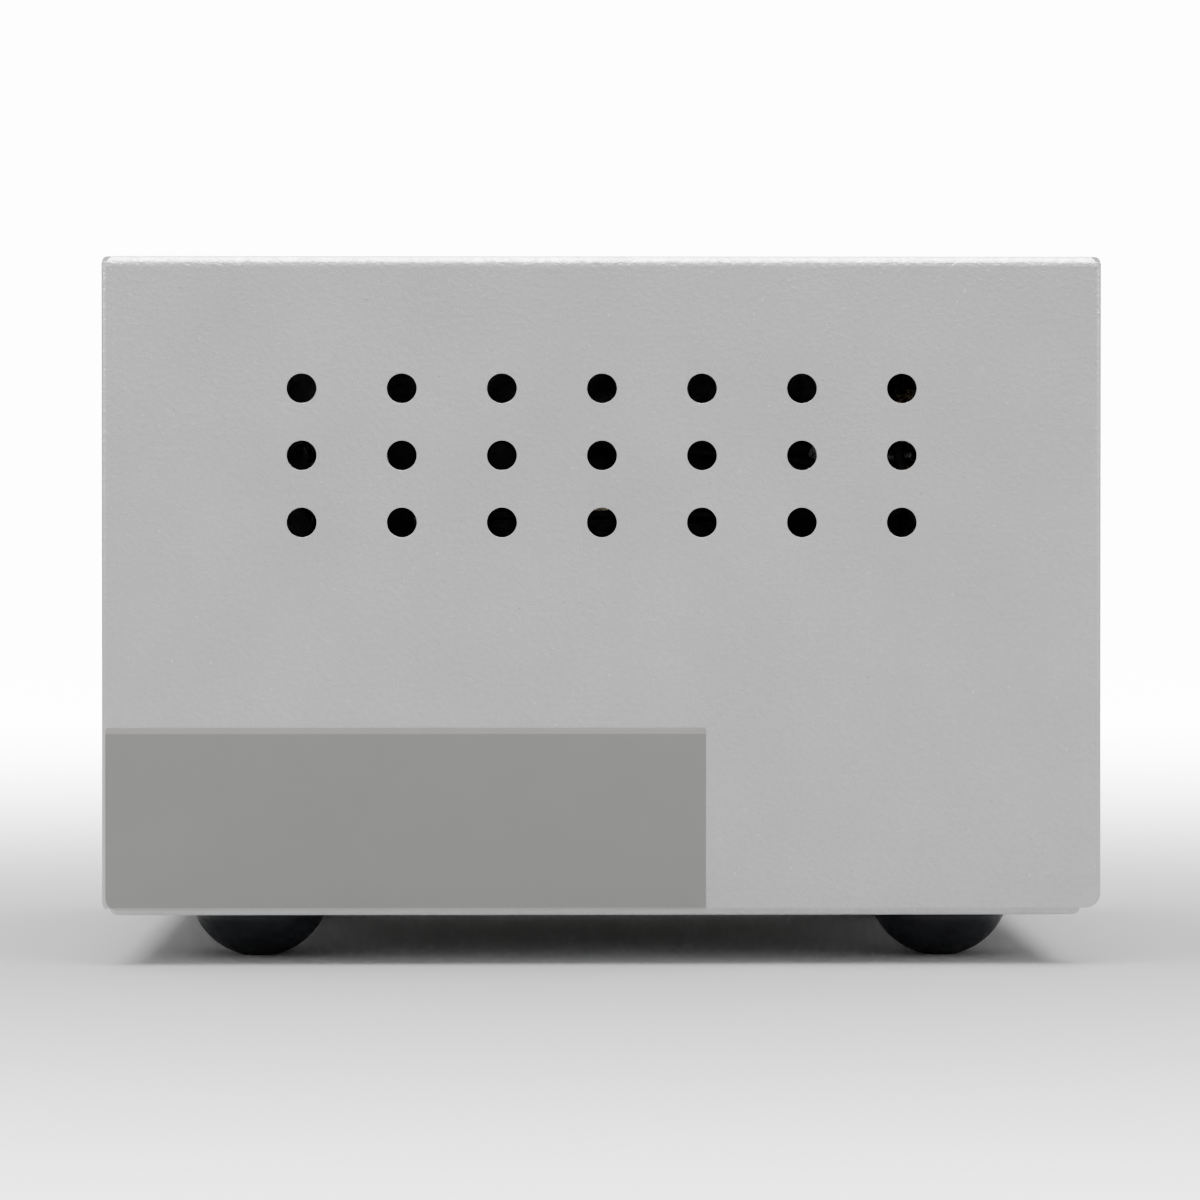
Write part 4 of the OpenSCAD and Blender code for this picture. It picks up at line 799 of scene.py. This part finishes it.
def rocker_marks():
    """A bar on the raised half of the rocker and a ring on the pressed half."""
    bpy.ops.object.select_all(action="DESELECT")
    bpy.ops.mesh.primitive_cube_add(size=1, location=(0, 0, 0))
    bar = bpy.context.object
    bar.scale = (BAR_WIDTH, MARK_THICKNESS, BAR_LENGTH)
    bpy.ops.object.transform_apply(location=False, rotation=False, scale=True)
    round_edges(bar, BAR_EDGE)
    bar.rotation_euler = (ROCKER_TILT, 0, 0)
    bar.location = ROCKER_AXIS + Vector((0, -ROCKER_FACE - BAR_RISE * math.sin(ROCKER_TILT),
                                         BAR_RISE * math.cos(ROCKER_TILT) - ROCKER_VALLEY_DROP))
    settle(bar, "mark_on")
    add_new(bar, white_ink, "rocker")

    bpy.ops.object.select_all(action="DESELECT")
    bpy.ops.mesh.primitive_cylinder_add(vertices=ROUND_FACETS, radius=RING_RADIUS, depth=MARK_THICKNESS,
                                        rotation=(QUARTER_TURN, 0, 0))
    ring = bpy.context.object
    bpy.ops.object.transform_apply(location=False, rotation=True, scale=False)
    pick(ring, "FACE", lambda face: abs(face.normal.y) > FACING)
    bpy.ops.mesh.inset(thickness=RING_WIDTH)
    bpy.ops.mesh.bridge_edge_loops()
    bpy.ops.object.mode_set(mode="OBJECT")
    round_edges(ring, RING_EDGE)
    ring.location = ROCKER_AXIS + Vector((0, -ROCKER_FACE, -RING_DROP))
    settle(ring, "mark_off")
    add_new(ring, white_ink, "rocker")


def selector_numbers():
    """The two voltages, printed on the selector and read from behind the case."""
    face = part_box("selector_body")[1].y
    for words, side in (("230", -1), ("115", 1)):
        at = (SELECTOR_MIDDLE.x + side * VOLTS_ASIDE, face, SELECTOR_MIDDLE.z + VOLTS_RISE)
        bpy.ops.object.select_all(action="DESELECT")
        bpy.ops.object.text_add(location=at, rotation=(QUARTER_TURN, 0, HALF_TURN))
        number = bpy.context.object
        number.data.body = words
        number.data.size = VOLTS_HEIGHT / HEIGHT_SHARE
        number.data.extrude = VOLTS_THICKNESS
        number.data.align_x = "CENTER"
        number.data.align_y = "CENTER"
        bpy.ops.object.convert(target="MESH")
        number = bpy.context.object
        settle(number, "volts_" + words)
        add_new(number, white_ink, "case")


# Boots on the blades

# Wall, tapered end, and the mouth that a lead enters
BOOT_WALL = 0.8 * MM
BOOT_TAPER = 1.5 * MM
BOOT_MOUTH = 3.4 * MM
BOOT_LIP = 0.4 * MM
BOOT_HOLLOW = 1 * MM
BOOT_EDGE = 0.3 * MM

# For each node with blades: the way they point, and the boot's reach over a blade and past its end
BOOTED = (
    ("inlet_contacts", TO_FRONT, 6 * MM, 2.5 * MM),
    ("selector_contacts", TO_FRONT, 4.5 * MM, 2.5 * MM),
    ("switch_contacts", TO_REAR, 6 * MM, 2.5 * MM),
    ("winding_tags", UPWARDS, 5 * MM, 2 * MM),
)


def boot(name, end_box, toward, over, beyond):
    """A push-on insulating boot: a tapered sleeve over a blade, open where the lead enters."""
    low, high = end_box
    size = [high[axis] - low[axis] + 2 * BOOT_WALL for axis in range(3)]
    along = max(range(3), key=lambda axis: abs(toward[axis]))
    size[along] = over + beyond
    bpy.ops.object.select_all(action="DESELECT")
    bpy.ops.mesh.primitive_cube_add(size=1, location=(low + high) / 2 + toward * (beyond - over) / 2)
    piece = bpy.context.object
    piece.scale = size
    bpy.ops.object.transform_apply(location=True, rotation=False, scale=True)
    pick(piece, "FACE", lambda face: face.normal.dot(toward) > FACING)
    extrude(toward * BOOT_TAPER)
    squeeze = [min(1, BOOT_MOUTH / part) for part in size]
    squeeze[along] = 1
    bpy.ops.transform.resize(value=squeeze)
    bpy.ops.mesh.inset(thickness=BOOT_LIP)
    extrude(toward * -BOOT_HOLLOW)
    bpy.ops.object.mode_set(mode="OBJECT")
    round_edges(piece, BOOT_EDGE, segments=3)
    settle(piece, name)
    add_new(piece, boot_vinyl, "case")


def boots():
    """Boots on every blade of the inlet, the selector and the switch, and on the winding tags."""
    for node, toward, over, beyond in BOOTED:
        for number, end_box in enumerate(tips(node, toward), 1):
            boot(f"boot_{node}_{number}", end_box, toward, over, beyond)


# Crumpled films behind the vent holes

FILM_THICKNESS = 0.08 * MM

# Finer creases: how many times smaller they are, and their share of the depth
FINER_CREASES = 2.3
FINER_SHARE = 0.4

# The guard's part on the switch: how far its middle is from the switch's rear, its margins and its gap
GUARD_LENGTH = 14 * MM
GUARD_SETBACK = 9 * MM
GUARD_MARGIN = 1 * MM
GUARD_GAP = 0.1 * MM

# Its free end goes on by these steps in mm, upwards and to the rear, and is creased past a held length
GUARD_STEPS = ((5, 2), (8, 3), (5, 6), (-1, 7), (-9, 3), (-16, -1), (-14, -1))
GUARD_HELD = 0.5 * MM
GUARD_CUTS = 9
GUARD_CREASE = 7 * MM
GUARD_DEPTH = 3.5 * MM

# The edge that the free end starts from is found within this distance of the switch part's end
EDGE_SLACK = 0.1 * MM

# The wrap is a tube round the live lead, pulled in at both ends
WRAP_MIDDLE = Vector((48.5 * MM, 58.5 * MM, 102.7 * MM))
WRAP_RADIUS = 3.2 * MM
WRAP_LENGTH = 15 * MM
WRAP_RINGS = 20
WRAP_BODY = 6 * MM
WRAP_PINCH = 0.6
WRAP_CREASE = 3 * MM
WRAP_DEPTH = 1.6 * MM


def crumple(piece, crease, depth):
    """Pushes a finely divided sheet in and out along creases of that size, or its loose part alone."""
    for number, (size, share) in enumerate(((crease, 1), (crease / FINER_CREASES, FINER_SHARE)), 1):
        creases = bpy.data.textures.new(f"creases_{number}", "VORONOI")
        creases.noise_scale = size
        creases.weight_1 = -1
        creases.weight_2 = 1
        push = piece.modifiers.new("creases", "DISPLACE")
        push.texture = creases
        push.texture_coords = "LOCAL"
        push.strength = depth * share
        push.mid_level = 0.5
        if piece.vertex_groups:
            push.vertex_group = "loose"
        apply_modifier(piece, push)


def enter_film(sheet, name):
    """Gives a crumpled sheet its thickness and enters it."""
    wall = sheet.modifiers.new("film", "SOLIDIFY")
    wall.thickness = FILM_THICKNESS
    apply_modifier(sheet, wall)
    settle(sheet, name, smooth_angle=30)
    add_new(sheet, wrap_film, "case")


def switch_guard():
    """A clear film that lies on the switch, rises behind it and hangs in front of its blades."""
    low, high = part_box("switch_body")
    at = ((low.x + high.x) / 2, high.y - GUARD_SETBACK, high.z + GUARD_GAP)
    bpy.ops.object.select_all(action="DESELECT")
    bpy.ops.mesh.primitive_plane_add(size=1, location=at)
    guard = bpy.context.object
    guard.scale = (high.x - low.x - 2 * GUARD_MARGIN, GUARD_LENGTH, 1)
    bpy.ops.object.transform_apply(location=True, rotation=False, scale=True)
    last = max(vertex.co.y for vertex in guard.data.vertices)
    pick(guard, "EDGE", lambda edge: middle(guard, edge).y > last - EDGE_SLACK)
    for rise, back in GUARD_STEPS:
        extrude((0, back * MM, rise * MM))
    bpy.ops.mesh.select_all(action="SELECT")
    bpy.ops.mesh.subdivide(number_cuts=GUARD_CUTS)
    bpy.ops.object.mode_set(mode="OBJECT")
    free = [vertex.index for vertex in guard.data.vertices if vertex.co.y > last + GUARD_HELD]
    guard.vertex_groups.new(name="loose").add(free, 1, "ADD")
    crumple(guard, GUARD_CREASE, GUARD_DEPTH)
    enter_film(guard, "switch_guard_film")


def lead_wrap():
    """Film twisted round the live lead where it comes to the outlets."""
    bpy.ops.object.select_all(action="DESELECT")
    bpy.ops.mesh.primitive_cylinder_add(vertices=ROUND_FACETS, radius=WRAP_RADIUS, depth=WRAP_LENGTH,
                                        end_fill_type="NOTHING", rotation=(QUARTER_TURN, 0, 0),
                                        location=WRAP_MIDDLE)
    wrap = bpy.context.object
    bpy.ops.object.transform_apply(location=True, rotation=True, scale=False)
    bpy.ops.object.mode_set(mode="EDIT")
    first = WRAP_MIDDLE.y - WRAP_LENGTH / 2
    cut_across(1, [first + WRAP_LENGTH * ring / WRAP_RINGS for ring in range(1, WRAP_RINGS)])
    bpy.ops.object.mode_set(mode="OBJECT")
    for end in (-1, 1):
        pick(wrap, "VERT", lambda vertex: end * (vertex.co.y - WRAP_MIDDLE.y) > WRAP_BODY)
        bpy.ops.transform.resize(value=(WRAP_PINCH, 1, WRAP_PINCH))
    bpy.ops.object.mode_set(mode="OBJECT")
    crumple(wrap, WRAP_CREASE, WRAP_DEPTH)
    enter_film(wrap, "lead_wrap_film")


# Fuse wires

FUSE_WIRE_FACETS = 10
FUSE_WIRE_RADIUS = 0.16 * MM
FUSE_WIRE_SAG = 0.35 * MM
FUSE_WIRE_END = 1.5 * MM

# Cuts along the wire, as shares of its length
FUSE_WIRE_CUTS = (0.2, 0.35, 0.5, 0.65, 0.8)


def fuse_wires():
    """The thin wire inside each glass tube."""
    low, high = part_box("fuse_tubes")
    radius = (high.z - low.z) / 2
    length = high.y - low.y
    for number, x in enumerate((low.x + radius, high.x - radius), 1):
        bpy.ops.object.select_all(action="DESELECT")
        bpy.ops.mesh.primitive_cylinder_add(vertices=FUSE_WIRE_FACETS, radius=FUSE_WIRE_RADIUS, depth=length,
                                            rotation=(QUARTER_TURN, 0, 0),
                                            location=(x, (low.y + high.y) / 2, low.z + radius))
        wire = bpy.context.object
        bpy.ops.object.transform_apply(location=True, rotation=True, scale=False)
        bpy.ops.object.mode_set(mode="EDIT")
        cut_across(1, [low.y + share * length for share in FUSE_WIRE_CUTS])
        bpy.ops.object.mode_set(mode="OBJECT")
        pick(wire, "VERT", lambda vertex: low.y + FUSE_WIRE_END < vertex.co.y < high.y - FUSE_WIRE_END)
        bpy.ops.transform.translate(value=(0, 0, -FUSE_WIRE_SAG))
        bpy.ops.object.mode_set(mode="OBJECT")
        settle(wire, f"fuse_wire_{number}", smooth_angle=60)
        add_new(wire, finishes["fuse_cap_metal"], "drawer")


# Dressing of every part. Boots come first, because they measure parts that are replaced later.

COVER_EDGE = 0.12 * MM
SCREW_EDGE = 0.1 * MM

# Widths of the soft edges of the CAD parts
soft_edges = {
    "front_panel": 0.2 * MM,
    "chassis": 0.2 * MM,
    "inlet_body": 0.25 * MM,
    "outlet_1": 0.25 * MM,
    "outlet_2": 0.25 * MM,
    "outlet_3": 0.25 * MM,
    "outlet_4": 0.25 * MM,
    "selector_body": 0.2 * MM,
    "selector_slider": 0.25 * MM,
    "switch_body": 0.35 * MM,
    "switch_rocker": 0.25 * MM,
    "fuse_drawer": 0.2 * MM,
    "bobbin": 0.35 * MM,
    "thermal_cutout": 0.5 * MM,
    "bracket_left": 0.2 * MM,
    "bracket_right": 0.2 * MM,
    "clamp_bar_left": 0.2 * MM,
    "clamp_bar_right": 0.2 * MM,
    "core_nuts": 0.2 * MM,
    "mounting_nuts": 0.2 * MM,
    "m3_nuts": 0.12 * MM,
    "earth_nut": 0.15 * MM,
    "core_washers": 0.1 * MM,
    "panel_screws": SCREW_EDGE,
    "cover_screws": SCREW_EDGE,
    "foot_screws": SCREW_EDGE,
    "earth_lugs": 0.1 * MM,
    "outlet_bars": 0.1 * MM,
    "winding_tags": 0.08 * MM,
    "coil_tape": 0.4 * MM,
}
boots()
cover_piece = soften("cover", COVER_EDGE, segments=3)
for node, width in soft_edges.items():
    soften(node, width)
for node in ("inlet_screws", "selector_screws"):
    soften_screws(node, SCREW_EDGE, TO_REAR)
for node in ("live_leads", "neutral_leads", "earth_leads"):
    round_lead(node)
feet()
label()
rocker_marks()
selector_numbers()
switch_guard()
lead_wrap()
fuse_wires()

for node, part in frame["nodes"].items():
    dress(part, finish_of(node))


# Floor, light and camera

# Strength of the white backdrop, of the light from all round, and power of the two lamps in watts
BACKDROP_GLOW = 14
AIR = 0.36
OVERHEAD = 46
GLOSS = 1100

# Floor: its side, the size of its patches, and the ring round the case where it fades into the backdrop
FLOOR_SIZE = 40
FLOOR_PATCH = 0.4
FADE_START = 0.12
FADE_END = 1.3

# Lamps: their place above the case, the place they shine at, and the length of their sides
LAMP_PLACE = Vector((0, 0, 1.5))
LAMP_AIM = Vector((0, 0, 0))
OVERHEAD_SIDES = (2.2, 2.2)
GLOSS_SIDES = (0.5, 1.6)

# The bright patch at the far side starts at this X of a ray's direction, and is full at this one
PATCH_START = -0.9
PATCH_FULL = -0.975

# Camera: its distance from the side of the case, its place and aim along that side, and its lens
CAMERA_DISTANCE = 1.0
CAMERA_Y = -15.1 * MM
CAMERA_Z = 85.8 * MM
AIM_Y = -0.4 * MM
AIM_Z = 73.2 * MM
LENS_MM = 150.1
SENSOR_MM = 36
CLIP_END = 50


def joined(tree, first, second, operation):
    """Two linked values, added or multiplied."""
    total = tree.nodes.new("ShaderNodeMath")
    total.operation = operation
    tree.links.new(first, total.inputs[0])
    tree.links.new(second, total.inputs[1])
    return total.outputs["Value"]


def stage():
    """A pale floor that fades into the white backdrop away from the case."""
    bpy.ops.mesh.primitive_plane_add(size=FLOOR_SIZE, location=(0, 0, 0))
    floor = bpy.context.object
    floor.name = "floor"
    finish, tree, shader = new_finish("floor_paper", 0.7)
    shader.inputs["Specular IOR Level"].default_value = 0
    tone = between(tree, noise(tree, FLOOR_PATCH), (0.84, 0.84, 0.84), (0.86, 0.86, 0.86))
    tree.links.new(tone, shader.inputs["Base Color"])
    away = tree.nodes.new("ShaderNodeVectorMath")
    away.operation = "LENGTH"
    tree.links.new(object_place(tree), away.inputs[0])
    fade = tree.nodes.new("ShaderNodeMapRange")
    fade.interpolation_type = "SMOOTHSTEP"
    fade.inputs["From Min"].default_value = FADE_START
    fade.inputs["From Max"].default_value = FADE_END
    fade.inputs["To Min"].default_value = 0
    fade.inputs["To Max"].default_value = BACKDROP_GLOW
    tree.links.new(away.outputs["Value"], fade.inputs["Value"])
    ray = tree.nodes.new("ShaderNodeLightPath")
    glow = joined(tree, fade.outputs["Result"], ray.outputs["Is Camera Ray"], "MULTIPLY")
    shader.inputs["Emission Color"].default_value = (1, 1, 1, 1)
    tree.links.new(glow, shader.inputs["Emission Strength"])
    dress(floor, finish)


def studio_air():
    """Even light from all round, a white backdrop, and its bright patch in the gloss at the far side."""
    world = bpy.data.worlds.new("studio")
    world.use_nodes = True
    tree = world.node_tree
    sky = tree.nodes["Background"]
    sky.inputs["Color"].default_value = (1, 1, 1, 1)
    coords = tree.nodes.new("ShaderNodeTexCoord")
    split = tree.nodes.new("ShaderNodeSeparateXYZ")
    tree.links.new(coords.outputs["Generated"], split.inputs["Vector"])
    ray = tree.nodes.new("ShaderNodeLightPath")
    white = spread(tree, ray.outputs["Is Camera Ray"], AIR, BACKDROP_GLOW, 0, 1)
    patch = spread(tree, split.outputs["X"], 0, BACKDROP_GLOW, PATCH_START, PATCH_FULL)
    shine = joined(tree, patch, ray.outputs["Is Glossy Ray"], "MULTIPLY")
    tree.links.new(joined(tree, white, shine, "ADD"), sky.inputs["Strength"])
    bpy.context.scene.world = world


def soft_box(name, sides, power):
    """A rectangular lamp above the case."""
    lamp = bpy.data.lights.new(name, "AREA")
    lamp.shape = "RECTANGLE"
    lamp.size, lamp.size_y = sides
    lamp.energy = power
    holder = bpy.data.objects.new(name, lamp)
    bpy.context.scene.collection.objects.link(holder)
    holder.location = LAMP_PLACE
    holder.rotation_euler = (LAMP_AIM - LAMP_PLACE).to_track_quat("-Z", "Y").to_euler()
    return holder


def lights():
    """Soft light from above, and a second lamp that shows only in the gloss of the cover."""
    studio_air()
    soft_box("overhead", OVERHEAD_SIDES, OVERHEAD)
    gloss = soft_box("overhead_gloss", GLOSS_SIDES, GLOSS)
    gloss.visible_diffuse = False
    gloss.visible_camera = False
    lit = bpy.data.collections.new("cover_alone")
    lit.objects.link(cover_piece)
    gloss.light_linking.receiver_collection = lit


def camera():
    """The photograph's view: from +X, a little above the middle of the side."""
    lens = bpy.data.cameras.new("photo_view")
    lens.sensor_width = SENSOR_MM
    lens.lens = LENS_MM
    lens.clip_end = CLIP_END
    holder = bpy.data.objects.new("photo_view", lens)
    bpy.context.scene.collection.objects.link(holder)
    holder.location = (cover_high.x + CAMERA_DISTANCE, CAMERA_Y, CAMERA_Z)
    aim = Vector((cover_high.x, AIM_Y, AIM_Z))
    holder.rotation_euler = (aim - holder.location).to_track_quat("-Z", "Y").to_euler()
    bpy.context.scene.camera = holder


stage()
lights()
camera()
